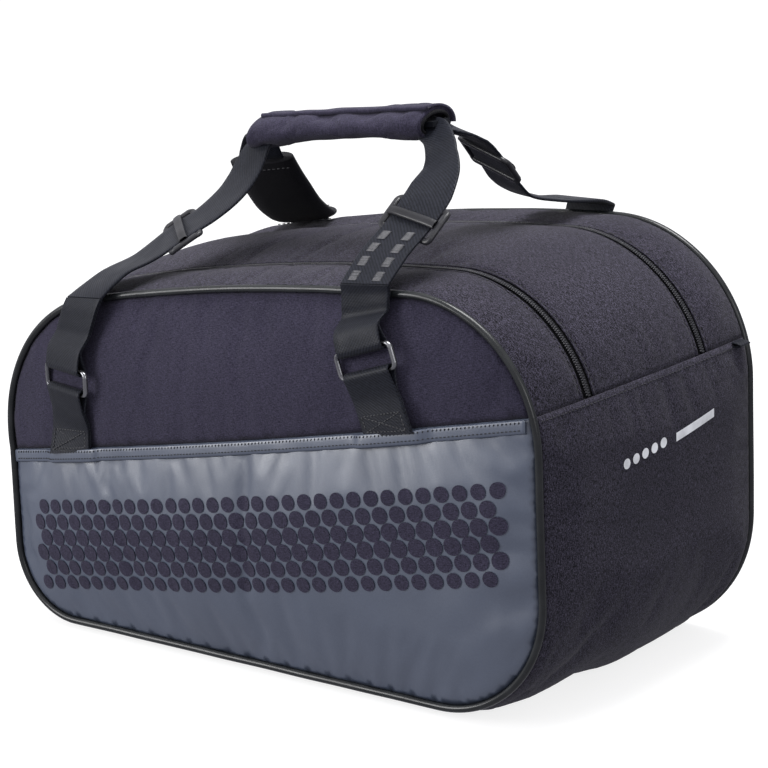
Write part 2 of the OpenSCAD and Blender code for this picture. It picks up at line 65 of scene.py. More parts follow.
# ---------------------------------------------------------------- driving sizes, as in part.scad
BAG_W = 522 * MM
BAG_D = 268 * MM
SOLE = 7.4 * MM
LOW_R, LOW_C = 122 * MM, (-BAG_W / 2 + 122 * MM, 159 * MM)
HIGH_R, HIGH_C = 106 * MM, (BAG_W / 2 - 106 * MM, 210 * MM)
CROWN_R = 1840 * MM
LOW_FOOT_R, HIGH_FOOT_R = 58 * MM, 96 * MM
LOW_FOOT_C = (-BAG_W / 2 + LOW_FOOT_R, SOLE + LOW_FOOT_R)
HIGH_FOOT_C = (BAG_W / 2 - HIGH_FOOT_R, SOLE + HIGH_FOOT_R)
BULGE, BELLY, BACK_GROW = 22 * MM, 7 * MM, 10 * MM
LOW_SEAM_A, HIGH_SEAM_A = math.radians(-7), math.radians(16)
PIPE_F, PIPE_R = -BAG_D / 2, BAG_D / 2
ZIP_F, ZIP_R = -75 * MM, 69 * MM
PANEL_INSET = 4 * MM
WEB_W, WEB_T = 44 * MM, 1.5 * MM
RING_WIRE, RING_PITCH, RING_INNER = 2.5 * MM, 20 * MM, 48 * MM
RING_X = {"low": -178 * MM, "high": 124 * MM}
RING_ABOVE = {"low": 57.5 * MM, "high": 53.5 * MM}
RING_DIR = {"low": Vector((0.976, -0.219, -0.011)), "high": Vector((0.953, -0.021, 0.302))}
TAB_X = {"low": -179 * MM, "high": 143 * MM}
GRIP_C, GRIP_TILT = Vector((21, -30, 412)) * MM, math.radians(6)
GRIP_LEN, GRIP_D, GRIP_H = 178 * MM, 21 * MM, 13.5 * MM
LIP = 5.6 * MM  # half the gap in the cloth over a zip
PIPE_EDGE = 2.5 * MM  # from a cord's middle to the edge of the cloth beside it
FLOOR_GAP = 0.4 * MM  # the lowest that cloth may hang
GUSSET_T, PANEL_T = 1.8 * MM, 3 * MM

# Routes of the straps, from the panel's top edge to the grip: place, width direction
ROUTES = {
    "front_low": [
        ((-160, -143, 282), (0.95, -0.15, 0.1)), ((-153, -134, 291), (0.94, -0.25, 0.12)),
        ((-144, -121, 301), (0.92, -0.35, 0.12)), ((-127, -106, 311), (0.9, -0.42, 0.1)),
        ((-106, -86, 330), (0.88, -0.47, 0)), ((-90, -74, 342), (0.88, -0.47, 0)),
        ((-77, -62, 356), (0.87, -0.48, -0.05)), ((-70, -53, 369), (0.85, -0.35, 0)),
        ((-66, -46, 382), (0.87, -0.2, 0.05))],
    "front_high": [
        ((119, -143, 322), (1, 0, 0.08)), ((121, -132, 333), (1, 0, 0.05)),
        ((123, -121, 343), (1, 0, 0.04)), ((127, -109, 353), (1, 0, 0.04)),
        ((131, -98, 363), (1, 0, 0.04)), ((134, -86, 376), (0.98, 0.06, 0.08)),
        ((131, -70, 389), (0.9, 0.06, 0.26)), ((124, -55, 399), (0.78, -0.02, 0.46))],
    "rear_high": [
        ((122, 144, 332), (1, 0, 0)), ((123, 127, 338), (1, 0, 0)),
        ((122, 96, 343), (1, 0, 0)), ((118, 70, 350), (0.98, 0, -0.1)),
        ((115, 48, 359), (0.95, -0.15, -0.2)), ((115, 33, 372), (0.93, -0.2, -0.22)),
        ((116, 18, 387), (0.93, -0.2, -0.22)), ((117, 4, 401), (0.93, -0.2, -0.22)),
        ((117, -7, 407), (0.96, -0.1, -0.1))],
    "rear_low": [
        ((-167, 144, 294), (0.95, 0, 0.3)), ((-158, 130, 301), (0.94, 0.1, 0.3)),
        ((-142, 110, 306), (0.92, 0.3, 0.15)), ((-129, 92, 309), (0.9, 0.4, 0.12)),
        ((-117, 70, 316), (0.88, 0.45, 0.1)), ((-109, 48, 328), (0.88, 0.45, 0.1)),
        ((-102, 28, 344), (0.88, 0.45, 0.1)), ((-96, 10, 360), (0.9, 0.4, 0.1)),
        ((-90, -6, 376), (0.92, 0.3, 0.1))],
}
# Webbing that goes on from each riser into the wrap, and rides on the handle
ENTRIES = {
    "front_low": [((-66, -46, 382), (0.87, -0.2, 0.05)), ((-63, -41, 392), (0.88, -0.15, 0.05)),
                  ((-58, -34, 400), (0.9, -0.1, 0.08)), ((-50, -31, 404), (0.6, -0.75, 0.1))],
    "front_high": [((124, -55, 399), (0.78, -0.02, 0.46)), ((118, -47, 407), (0.7, 0.1, 0.6)),
                   ((108, -39, 415), (0.5, 0.4, 0.7)), ((94, -34, 418), (0.2, 0.8, 0.5))],
    "rear_high": [((117, -7, 407), (0.96, -0.1, -0.1)), ((115, -15, 413), (0.9, -0.3, -0.1)),
                  ((108, -22, 417), (0.7, -0.6, -0.1)), ((96, -26, 420), (0.4, -0.9, 0))],
    "rear_low": [((-90, -6, 376), (0.92, 0.3, 0.1)), ((-85, -13, 388), (0.9, 0.35, 0.1)),
                 ((-77, -20, 398), (0.8, 0.5, 0.1)), ((-62, -26, 404), (0.5, 0.85, 0.05))],
}
BEND_END = 2
GLIDE_AT = {"front_low": 4, "front_high": 4, "rear_high": 6}


# ---------------------------------------------------------------- camera, light and stage
CAMERA_TURN = (38.4, 14.4, -2.3)  # bearing, height and roll in degrees
CAMERA_AT, CAMERA_AWAY, LENS = (0.031, -0.014, 0.208), 2.24, 135.05
LAMPS = (("key", (-1.45, -1.85, 0.8), (-0.1, -0.1, 0.25), 1.2, 39),
         ("top", (0.25, 0.1, 1.9), (0, 0, 0.25), 0.9, 38),
         ("rim", (2.0, -0.8, 0.9), (0.2, 0, 0.2), 1.0, 9))
SKY_UP, SKY_DARK, SKY_PALE = (-0.22, -0.25, 0.94), (0.42, 0.42, 0.46), (1.0, 1.0, 1.03)


def add_camera():
    """The camera, placed by its bearing, height and distance from the bag."""
    azimuth, elevation, roll = (math.radians(a) for a in CAMERA_TURN)
    back = Vector((math.cos(elevation) * math.sin(azimuth), -math.cos(elevation) * math.cos(azimuth),
                   math.sin(elevation)))
    right = Vector((math.cos(azimuth), math.sin(azimuth), 0))
    up = back.cross(right)
    c, s = math.cos(roll), math.sin(roll)
    rolled_right, rolled_up = c * right + s * up, -s * right + c * up
    data = bpy.data.cameras.new("camera")
    data.sensor_width = 36
    data.lens = LENS
    cam = bpy.data.objects.new("camera", data)
    bpy.context.collection.objects.link(cam)
    turn = Matrix((rolled_right, rolled_up, back)).transposed().to_4x4()
    cam.matrix_world = Matrix.Translation(Vector(CAMERA_AT) + CAMERA_AWAY * back) @ turn
    bpy.context.scene.camera = cam


def add_light(name, place, target, size, power):
    data = bpy.data.lights.new(name, "AREA")
    data.size = size
    data.energy = power
    lamp = bpy.data.objects.new(name, data)
    bpy.context.collection.objects.link(lamp)
    lamp.location = place
    lamp.rotation_euler = (Vector(target) - Vector(place)).to_track_quat("-Z", "Y").to_euler()


def add_stage():
    """A pale sky, three soft lights and a white floor."""
    world = bpy.data.worlds.new("studio")
    bpy.context.scene.world = world
    world.use_nodes = True
    tree = world.node_tree
    background = tree.nodes["Background"]
    g = Graph(tree)
    way = tree.nodes.new("ShaderNodeVectorMath")
    way.operation = "DOT_PRODUCT"
    way.inputs[1].default_value = SKY_UP
    g.link(g.coords("Generated"), way.inputs[0])
    g.link(g.ramp(way.outputs["Value"], SKY_DARK, SKY_PALE, (-0.4, 0.8)), background.inputs["Color"])
    background.inputs["Strength"].default_value = 1.0
    for lamp in LAMPS:
        add_light(*lamp)
    floor = build("floor", [(-6, -6, 0), (6, -6, 0), (6, 6, 0), (-6, 6, 0)], [(0, 1, 2, 3)], None,
                  floor_material())
    floor.visible_diffuse = False
    floor.visible_glossy = False
    bpy.context.scene.view_settings.view_transform = "Standard"


# ---------------------------------------------------------------- materials
def new_material(name, **fixed):
    """A material, calls for its nodes, and its shader with the uniform values set."""
    material = bpy.data.materials.new(name)
    material.use_nodes = True
    shader = material.node_tree.nodes["Principled BSDF"]
    for key, value in fixed.items():
        shader.inputs[key.replace("_", " ")].default_value = value
    return material, Graph(material.node_tree), shader


def floor_material():
    """A pale sweep that stays near white in the shadow."""
    return new_material("floor_white", Base_Color=(0.3, 0.3, 0.3, 1), Roughness=0.95,
                        Specular_IOR_Level=0.0, Emission_Color=(1, 1, 1, 1), Emission_Strength=0.8)[0]


class Graph:
    """Short calls for the nodes that the materials share."""

    def __init__(self, tree):
        self.tree = tree

    def node(self, kind, **inputs):
        made = self.tree.nodes.new(kind)
        for key, value in inputs.items():
            made.inputs[key.replace("_", " ")].default_value = value
        return made

    def link(self, a, b):
        self.tree.links.new(a, b)

    def coords(self, kind="Object"):
        return self.tree.nodes.new("ShaderNodeTexCoord").outputs[kind]

    def scaled(self, source, scale):
        mapping = self.node("ShaderNodeMapping")
        mapping.inputs["Scale"].default_value = scale
        self.link(source, mapping.inputs["Vector"])
        return mapping.outputs["Vector"]

    def noise(self, source, scale, detail=2.0, rough=0.5):
        made = self.node("ShaderNodeTexNoise", Scale=scale, Detail=detail, Roughness=rough)
        self.link(source, made.inputs["Vector"])
        return made.outputs["Fac"]

    def wave(self, source, scale, direction, distortion=0.0):
        made = self.node("ShaderNodeTexWave", Scale=scale, Distortion=distortion)
        made.bands_direction = direction
        self.link(source, made.inputs["Vector"])
        return made.outputs["Fac"]

    def ramp(self, source, low, high, at=(0.3, 0.7)):
        made = self.node("ShaderNodeValToRGB")
        made.color_ramp.elements[0].position = at[0]
        made.color_ramp.elements[0].color = (*low, 1)
        made.color_ramp.elements[1].position = at[1]
        made.color_ramp.elements[1].color = (*high, 1)
        self.link(source, made.inputs["Fac"])
        return made.outputs["Color"]

    def range(self, source, low, high, at=(0.3, 0.7)):
        made = self.node("ShaderNodeMapRange")
        made.inputs["From Min"].default_value, made.inputs["From Max"].default_value = at
        made.inputs["To Min"].default_value, made.inputs["To Max"].default_value = low, high
        self.link(source, made.inputs["Value"])
        return made.outputs["Result"]

    def math(self, kind, a, b):
        made = self.tree.nodes.new("ShaderNodeMath")
        made.operation = kind
        for socket, value in zip(made.inputs, (a, b)):
            if isinstance(value, (int, float)):
                socket.default_value = value
            else:
                self.link(value, socket)
        return made.outputs["Value"]

    def weigh(self, a, a_part, b, b_part):
        """Two values added, each at its own strength."""
        return self.math("ADD", self.math("MULTIPLY", a, a_part), self.math("MULTIPLY", b, b_part))

    def mix(self, factor, a, b, blend="MIX"):
        made = self.tree.nodes.new("ShaderNodeMix")
        made.data_type = "RGBA"
        made.blend_type = blend
        for socket, value in ((made.inputs[0], factor), (made.inputs[6], a), (made.inputs[7], b)):
            if isinstance(value, (int, float)):
                socket.default_value = value
            elif isinstance(value, tuple):
                socket.default_value = (*value, 1)
            else:
                self.link(value, socket)
        return made.outputs[2]

    def bump(self, height, distance, strength=1.0):
        made = self.node("ShaderNodeBump", Distance=distance, Strength=strength)
        self.link(height, made.inputs["Height"])
        return made.outputs["Normal"]


def cloth_material(name, dark, light, weave=1.1 * MM, speckle=1.6 * MM, contrast=(0.35, 0.68),
                   roughness=0.85, sheen=0.25, depth=0.12 * MM):
    """Woven polyester: mottled yarns, a fine plain weave and a little large-scale variation."""
    material, g, shader = new_material(name, Roughness=roughness, Sheen_Weight=sheen, Sheen_Roughness=0.5,
                                       Specular_IOR_Level=0.12)
    obj, uv = g.coords("Object"), g.coords("UV")
    yarn = g.noise(obj, 1 / speckle, 3.0, 0.65)
    streak = g.noise(g.scaled(uv, (0.25 / speckle, 1.6 / speckle, 1)), 1.0, 2.0, 0.6)
    mottled = g.ramp(g.weigh(yarn, 0.6, streak, 0.4), dark, light, contrast)
    broad = g.range(g.noise(obj, 9.0, 3.0), 0.86, 1.12)
    tint = g.ramp(broad, (0.86, 0.86, 0.88), (1.1, 1.1, 1.08), (0.86, 1.12))
    shade = g.mix(1.0, mottled, tint, "MULTIPLY")
    g.link(shade, shader.inputs["Base Color"])
    warp, weft = (g.wave(uv, 1 / weave / 20 * 6.3, way, 0.4) for way in "XY")
    height = g.math("ADD", g.math("MULTIPLY", warp, weft), g.math("MULTIPLY", yarn, 0.9))
    g.link(g.bump(height, depth), shader.inputs["Normal"])
    return material


def tarpaulin_material():
    """Satin coated fabric: a smooth skin over a fine base cloth."""
    material, g, shader = new_material("slate_tarpaulin", Specular_IOR_Level=0.95)
    obj, uv = g.coords("Object"), g.coords("UV")
    cloudy = g.noise(obj, 14.0, 3.0)
    grain = g.noise(obj, 900.0, 2.0)
    base = g.ramp(cloudy, (0.050, 0.062, 0.093), (0.061, 0.075, 0.110))
    fine = g.ramp(grain, (0.92, 0.92, 0.94), (1.06, 1.06, 1.06))
    g.link(g.mix(1.0, base, fine, "MULTIPLY"), shader.inputs["Base Color"])
    g.link(g.range(g.noise(obj, 40.0, 3.0), 0.36, 0.46), shader.inputs["Roughness"])
    cloth = g.math("MULTIPLY", g.wave(uv, 280.0, "X", 0.3), g.wave(uv, 280.0, "Y", 0.3))
    g.link(g.bump(g.weigh(grain, 0.6, cloth, 0.4), 0.05 * MM), shader.inputs["Normal"])
    return material


def webbing_material():
    """Smooth narrow fabric: fine ribs across, tight edges, a soft sheen."""
    material, g, shader = new_material("webbing", Sheen_Weight=0.03, Specular_IOR_Level=0.13)
    obj, uv = g.coords("Object"), g.coords("UV")
    ribs = g.wave(uv, 300.0, "Y", 0.6)
    twill = g.wave(uv, 210.0, "DIAGONAL", 0.5)
    mottled = g.noise(obj, 500.0, 3.0, 0.6)
    base = g.ramp(g.weigh(mottled, 0.7, twill, 0.3), (0.003, 0.0036, 0.006), (0.013, 0.0145, 0.022))
    g.link(base, shader.inputs["Base Color"])
    g.link(g.range(g.noise(obj, 60.0), 0.36, 0.5), shader.inputs["Roughness"])
    g.link(g.bump(g.weigh(ribs, 0.5, twill, 0.8), 0.10 * MM), shader.inputs["Normal"])
    return material


def gloss_material(name, colour, roughness, grain=300.0, depth=0.03 * MM, metallic=0.0, worn=None,
                   specular=0.3):
    """Moulded, coated or plated parts: fine grain, uneven gloss and slightly worn edges."""
    material, g, shader = new_material(name, Metallic=metallic, Specular_IOR_Level=specular)
    obj = g.coords("Object")
    fleck = g.noise(obj, grain, 3.0)
    lighter = tuple(min(1.0, c * 1.5 + 0.004) for c in colour)
    base = g.ramp(g.noise(obj, 60.0, 3.0), colour, lighter)
    if worn:
        pointed = g.tree.nodes.new("ShaderNodeNewGeometry").outputs["Pointiness"]
        base = g.mix(g.range(pointed, 0.0, 0.8, (0.52, 0.62)), base, worn)
    g.link(base, shader.inputs["Base Color"])
    g.link(g.range(g.noise(obj, 45.0, 3.0), roughness * 0.8, roughness * 1.25), shader.inputs["Roughness"])
    g.link(g.bump(fleck, depth), shader.inputs["Normal"])
    return material


def thread_material(name, colour):
    """Twisted sewing thread."""
    material, g, shader = new_material(name, Roughness=0.6)
    obj = g.coords("Object")
    g.link(g.ramp(g.noise(obj, 700.0), tuple(c * 0.6 for c in colour), colour), shader.inputs["Base Color"])
    g.link(g.bump(g.wave(obj, 500.0, "DIAGONAL"), 0.08 * MM), shader.inputs["Normal"])
    return material


# ---------------------------------------------------------------- mesh helpers
def build(name, verts, faces, uvs, material):
    """A smooth-shaded mesh object with one material."""
    mesh = bpy.data.meshes.new(name)
    mesh.from_pydata([tuple(v) for v in verts], [], faces)
    if uvs is not None:
        layer = mesh.uv_layers.new(name="cloth")
        flat = [uvs[loop.vertex_index] for loop in mesh.loops]
        layer.data.foreach_set("uv", [c for uv in flat for c in uv])
    mesh.polygons.foreach_set("use_smooth", [True] * len(mesh.polygons))
    mesh.materials.append(material)
    obj = bpy.data.objects.new(name, mesh)
    bpy.context.collection.objects.link(obj)
    return obj


def grid(name, rows, uvs, material, closed=False):
    """A sheet of quads over rows of points; closed joins the last column to the first."""
    cols = len(rows[0])
    faces = []
    for j in range(len(rows) - 1):
        for i in range(cols if closed else cols - 1):
            k = (i + 1) % cols
            faces.append((j * cols + i, j * cols + k, (j + 1) * cols + k, (j + 1) * cols + i))
    return build(name, [p for r in rows for p in r], faces, [u for r in uvs for u in r], material)


def thicken(obj, thickness):
    """Gives a sheet its thickness, on the side its normals leave."""
    solid = obj.modifiers.new("thickness", "SOLIDIFY")
    solid.thickness = thickness
    solid.offset = -1.0
    return obj


def trace(pieces, step):
    """Points and outward normals along arcs and lines, clockwise from the front."""
    found = []
    for kind, *spec in pieces:
        if kind == "arc":
            centre, radius, a0, a1 = spec
            count = max(2, round(abs(a1 - a0) * radius / step))
            turns = [a0 + (a1 - a0) * i / count for i in range(count + 1)]
            run = [((centre[0] + radius * math.cos(a), centre[1] + radius * math.sin(a)),
                    (math.cos(a), math.sin(a))) for a in turns]
        else:
            p, q = spec
            length = math.dist(p, q)
            count = max(2, round(length / step))
            normal = (-(q[1] - p[1]) / length, (q[0] - p[0]) / length)
            run = [((p[0] + (q[0] - p[0]) * i / count, p[1] + (q[1] - p[1]) * i / count), normal)
                   for i in range(count + 1)]
        found += run[1:] if found else run
    return found


def crown():
    """The crown arc, tangent to both shoulder arcs: its centre and its two end angles."""
    v = (HIGH_C[0] - LOW_C[0], HIGH_C[1] - LOW_C[1])
    d = math.hypot(*v)
    low, high = CROWN_R - LOW_R, CROWN_R - HIGH_R
    along = (low * low - high * high + d * d) / (2 * d)
    below = math.sqrt(low * low - along * along)
    u = (v[0] / d, v[1] / d)
    c = (LOW_C[0] + along * u[0] + below * u[1], LOW_C[1] + along * u[1] - below * u[0])
    return c, math.atan2(LOW_C[1] - c[1], LOW_C[0] - c[0]), math.atan2(HIGH_C[1] - c[1], HIGH_C[0] - c[0])


CROWN_C, CROWN_A0, CROWN_A1 = crown()
STEP = 4 * MM
TOP = trace([("arc", LOW_C, LOW_R, math.pi - LOW_SEAM_A, CROWN_A0),
             ("arc", CROWN_C, CROWN_R, CROWN_A0, CROWN_A1),
             ("arc", HIGH_C, HIGH_R, CROWN_A1, HIGH_SEAM_A)], STEP)
BOTTOM = trace([("arc", HIGH_C, HIGH_R, HIGH_SEAM_A, 0),
                ("line", (BAG_W / 2, HIGH_C[1]), (BAG_W / 2, HIGH_FOOT_C[1])),
                ("arc", HIGH_FOOT_C, HIGH_FOOT_R, 0, -math.pi / 2),
                ("line", (HIGH_FOOT_C[0], SOLE), (LOW_FOOT_C[0], SOLE)),
                ("arc", LOW_FOOT_C, LOW_FOOT_R, -math.pi / 2, -math.pi),
                ("line", (-BAG_W / 2, LOW_FOOT_C[1]),
                 (LOW_C[0] - LOW_R * math.cos(LOW_SEAM_A), LOW_C[1] + LOW_R * math.sin(LOW_SEAM_A)))], STEP)
SEAM_LOW = (LOW_C[0] - (LOW_R - PANEL_INSET) * math.cos(LOW_SEAM_A),
            LOW_C[1] + (LOW_R - PANEL_INSET) * math.sin(LOW_SEAM_A))
SEAM_HIGH = (HIGH_C[0] + (HIGH_R - PANEL_INSET) * math.cos(HIGH_SEAM_A),
             HIGH_C[1] + (HIGH_R - PANEL_INSET) * math.sin(HIGH_SEAM_A))
SEAM_SLOPE = math.atan2(SEAM_HIGH[1] - SEAM_LOW[1], SEAM_HIGH[0] - SEAM_LOW[0])


def seam_z(x):
    """Height of the seam between the lower and upper panels."""
    return SEAM_LOW[1] + (x - SEAM_LOW[0]) * math.tan(SEAM_SLOPE)


def grow(y):
    """How far the outline stands off at a depth: taller to the back, and a belly."""
    return BACK_GROW * (y - PIPE_F) / BAG_D + BELLY * (1 - (2 * y / BAG_D) ** 2)


def half_chord(c, r, x):
    return math.sqrt(max(0.0, r * r - (x - c[0]) ** 2))


def top_z(x):
    if x < CROWN_C[0] + CROWN_R * math.cos(CROWN_A0):
        return LOW_C[1] + half_chord(LOW_C, LOW_R, x)
    if x < CROWN_C[0] + CROWN_R * math.cos(CROWN_A1):
        return CROWN_C[1] + half_chord(CROWN_C, CROWN_R, x)
    return HIGH_C[1] + half_chord(HIGH_C, HIGH_R, x)


def bottom_z(x):
    if x < LOW_FOOT_C[0]:
        return LOW_FOOT_C[1] - half_chord(LOW_FOOT_C, LOW_FOOT_R, x)
    if x < HIGH_FOOT_C[0]:
        return SOLE
    return HIGH_FOOT_C[1] - half_chord(HIGH_FOOT_C, HIGH_FOOT_R, x)


def pillow(x, z):
    """How far a panel domes out."""
    top, low = top_z(x), bottom_z(x)
    across = max(0.0, 1 - (2 * x / BAG_W) ** 2)
    upright = max(0.0, 1 - ((z - (top + low) / 2) / ((top - low) / 2)) ** 2)
    return BULGE * across * upright


def soft(p, size, seed=0.0):
    """Smooth noise of -1 to 1 at a length scale."""
    return noise.noise(Vector((p[0] / size + seed, p[1] / size - seed, p[2] / size + 0.5 * seed)))


# ---------------------------------------------------------------- pieces baked in place
def follow_flap(obj):
    """Bakes a piece's transform into its mesh."""
    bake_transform(obj)
    return obj


# ---------------------------------------------------------------- gusset
PUFF = 3.5 * MM
SEAMS = (PIPE_F + 3 * MM, ZIP_F - 5 * MM, ZIP_F + 9 * MM, ZIP_R - 5 * MM, ZIP_R + 9 * MM, PIPE_R - 3 * MM)


def puff(y):
    """Fabric domes a little between neighbouring seams."""
    for a, b in zip(SEAMS[::2], SEAMS[1::2]):
        if a < y < b:
            return PUFF * math.sin(math.pi * (y - a) / (b - a)) ** 0.7
    return 0.0


def top_point(i, y, lift=0.0):
    """A point of the cloth over the top, between the end seams."""
    p, n = TOP[i]
    base = Vector((p[0] + n[0] * grow(y), y, p[1] + n[1] * grow(y)))
    edge = min(1.0, min(i, len(TOP) - 1 - i) * STEP / (30 * MM))
    swell = puff(y) * (0.35 + 0.65 * edge)
    wave = 1.1 * MM * soft(base, 60 * MM, 3.1) * min(1.0, puff(y) / PUFF * 1.4)
    return base + Vector((n[0], 0, n[1])) * (swell + wave + lift)


def side_fold(p):
    """Diagonal drag folds low on the high end, and slack along the bottom."""
    right = max(0.0, min(1.0, (p[0] - 0.13) / 0.1))
    low = max(0.0, min(1.0, (0.17 - p[2]) / 0.12))
    run = p[1] * 0.75 + p[2] * 0.66
    fold = math.sin(run / (17 * MM) + 2.2 * soft(p, 90 * MM, 1.7)) * right * low
    return 1.5 * MM * fold + 1.6 * MM * soft(p, 55 * MM, 8.3)


def bottom_point(i, y):
    """A point of the cloth round the ends and the base."""
    p, n = BOTTOM[i]
    base = Vector((p[0] + n[0] * grow(y), y, p[1] + n[1] * grow(y)))
    ends = min(1.0, min(i, len(BOTTOM) - 1 - i) * STEP / (25 * MM))
    hem = min(1.0, (BAG_D / 2 - abs(y)) / (16 * MM))
    slack = side_fold(base) * ends * hem
    q = base + Vector((n[0], 0, n[1])) * (slack + 1.6 * MM * hem)
    q.z = max(q.z, FLOOR_GAP)
    return q


def span(a, b, step=STEP):
    count = max(1, round((b - a) / step))
    return [a + (b - a) * k / count for k in range(count + 1)]


def edge_roll(y, edges):
    """The folded edge of the cloth beside a zip stands up a little."""
    lift = 0.0
    for e in edges:
        d = abs(y - e)
        lift += 0.9 * MM * math.exp(-((d - 1.2 * MM) / (1.3 * MM)) ** 2)
        lift -= 0.5 * MM * math.exp(-((d - 4.4 * MM) / (0.9 * MM)) ** 2)
    return lift


def fine_span(a, b):
    """Rows 4 mm apart, closer near the two edges where the cloth is folded."""
    near = [0, 0.6, 1.2, 1.8, 2.4, 3.2, 3.8, 4.4, 5.0, 6.0, 8.0]
    inner = span(a + 12 * MM, b - 12 * MM)
    return [a + d * MM for d in near] + inner + [b - d * MM for d in reversed(near)]


def top_sheet(name, y0, y1, rolled, material):
    """One piece of the top between two lines; rolled lists its edges beside zips."""
    rows, uvs = [], []
    for y in fine_span(y0, y1):
        lift = edge_roll(y, rolled)
        rows.append([top_point(i, y, lift) for i in range(len(TOP))])
        uvs.append([(i * STEP, y) for i in range(len(TOP))])
    obj = grid(name, rows, uvs, material)
    settle(obj, rows_pinned(len(rows), len(TOP), 6 if rolled else 1), 2.5, 0.010, 5 * MM)
    return thicken(obj, GUSSET_T)


def gusset(heather):
    """The cloth over the top in three pieces, and the loop round the ends and the base."""
    pieces = {}
    parts = (("front_strip", PIPE_F + PIPE_EDGE, ZIP_F - LIP, [ZIP_F - LIP]),
             ("mid_gusset", ZIP_F + LIP, ZIP_R - LIP, [ZIP_F + LIP, ZIP_R - LIP]),
             ("rear_strip", ZIP_R + LIP, PIPE_R - PIPE_EDGE, [ZIP_R + LIP]))
    for node, y0, y1, rolled in parts:
        piece = top_sheet(f"{node}_cloth", y0, y1, rolled, heather)
        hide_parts(node)
        pieces[node] = piece
    rows, uvs = [], []
    for y in span(PIPE_F + PIPE_EDGE, PIPE_R - PIPE_EDGE):
        rows.append([bottom_point(i, y) for i in range(len(BOTTOM))])
        uvs.append([(i * STEP, y) for i in range(len(BOTTOM))])
    lower = grid("lower_gusset_cloth", rows, uvs, heather)
    settle(lower, rows_pinned(len(rows), len(BOTTOM)), 2.0, 0.010, 5 * MM)
    for v in lower.data.vertices:
        v.co.z = max(v.co.z, FLOOR_GAP)
    thicken(lower, GUSSET_T)
    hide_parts("lower_gusset")
    pieces["lower_gusset"] = lower
    return pieces


# ---------------------------------------------------------------- cloth simulation
CLOTH_STIFF, CLOTH_FRAMES = 8.0, 16


def settle(obj, pins, pressure, slack, cap):
    """Inflates a sewn sheet held at its seams, and writes the result into its mesh."""
    scene = bpy.context.scene
    start = [v.co.copy() for v in obj.data.vertices]
    group = obj.vertex_groups.new(name="seams")
    group.add(sorted(pins), 1.0, "REPLACE")
    cloth = obj.modifiers.new("cloth", "CLOTH")
    cloth.settings.vertex_group_mass = "seams"
    cloth.settings.mass = 0.12
    cloth.settings.quality = 5
    cloth.settings.tension_stiffness = CLOTH_STIFF
    cloth.settings.compression_stiffness = CLOTH_STIFF
    cloth.settings.shear_stiffness = CLOTH_STIFF / 3
    cloth.settings.bending_stiffness = 0.35
    cloth.settings.air_damping = 2.0
    cloth.settings.use_pressure = True
    cloth.settings.uniform_pressure_force = pressure
    cloth.settings.shrink_min = -slack
    cloth.settings.effector_weights.gravity = 0.0
    cloth.point_cache.frame_start = 1
    cloth.point_cache.frame_end = CLOTH_FRAMES
    for number in range(1, CLOTH_FRAMES + 1):
        scene.frame_set(number)
    done = obj.evaluated_get(bpy.context.evaluated_depsgraph_get())
    moved = [v.co.copy() for v in done.data.vertices]
    obj.modifiers.remove(cloth)
    obj.vertex_groups.remove(group)
    scene.frame_set(1)
    for v, a, b in zip(obj.data.vertices, start, moved):
        shift = b - a
        if shift.length > cap:
            shift *= cap / shift.length
        v.co = a + shift
    return obj


def rows_pinned(rows, cols, deep=1, ends=1):
    """Indices of a grid's vertices near its edges."""
    return [j * cols + i for j in range(rows) for i in range(cols)
            if j < deep or j >= rows - deep or i < ends or i >= cols - ends]


# ---------------------------------------------------------------- panels
def panel_loop(part, o):
    """Closed outline of a panel piece in X and Z, at the piping's inner side."""
    inset = o - 2.2 * MM
    path = TOP if part == "upper" else BOTTOM
    loop = [(p[0] + n[0] * inset, p[1] + n[1] * inset) for p, n in path]
    if part == "lower":
        loop = [(x, max(z, SOLE * 0.5)) for x, z in loop]
    a, b = loop[-1], loop[0]
    count = round(math.dist(a, b) / STEP)
    straight = [(a[0] + (b[0] - a[0]) * k / count, a[1] + (b[1] - a[1]) * k / count) for k in range(1, count)]
    return loop + straight


def creases(x, z):
    """Soft drag creases of the coated panel at its high end, and faint ones near the bottom."""
    near = max(0.0, min(1.0, (x - 0.185) / 0.06)) * max(0.0, min(1.0, (0.2 - z) / 0.05))
    near *= max(0.0, min(1.0, (z - 0.03) / 0.05))
    ridge = math.sin((z - 0.35 * (x - 0.2)) / (7.5 * MM) + 2.0 * soft((x, 0, z), 50 * MM, 4.0))
    return 1.5 * MM * near * ridge + 0.9 * MM * soft((x, 0.3, z), 75 * MM, 6.0)


def off_edge(ring, x, z):
    """How far a place is from an outline's points."""
    return float(np.min(np.hypot(ring[:, 0] - x, ring[:, 1] - z)))


def inside_points(ring, pitch):
    """A staggered lattice of points over an outline's box, clear of the outline."""
    low, high = ring.min(axis=0), ring.max(axis=0)
    inner = []
    row = 0
    z = low[1] + pitch * 0.6
    while z < high[1]:
        x = low[0] + (pitch / 2 if row % 2 else 0)
        while x < high[0]:
            if off_edge(ring, x, z) > 0.62 * pitch:
                inner.append((x, z))
            x += pitch
        z += pitch * 0.866
        row += 1
    return inner


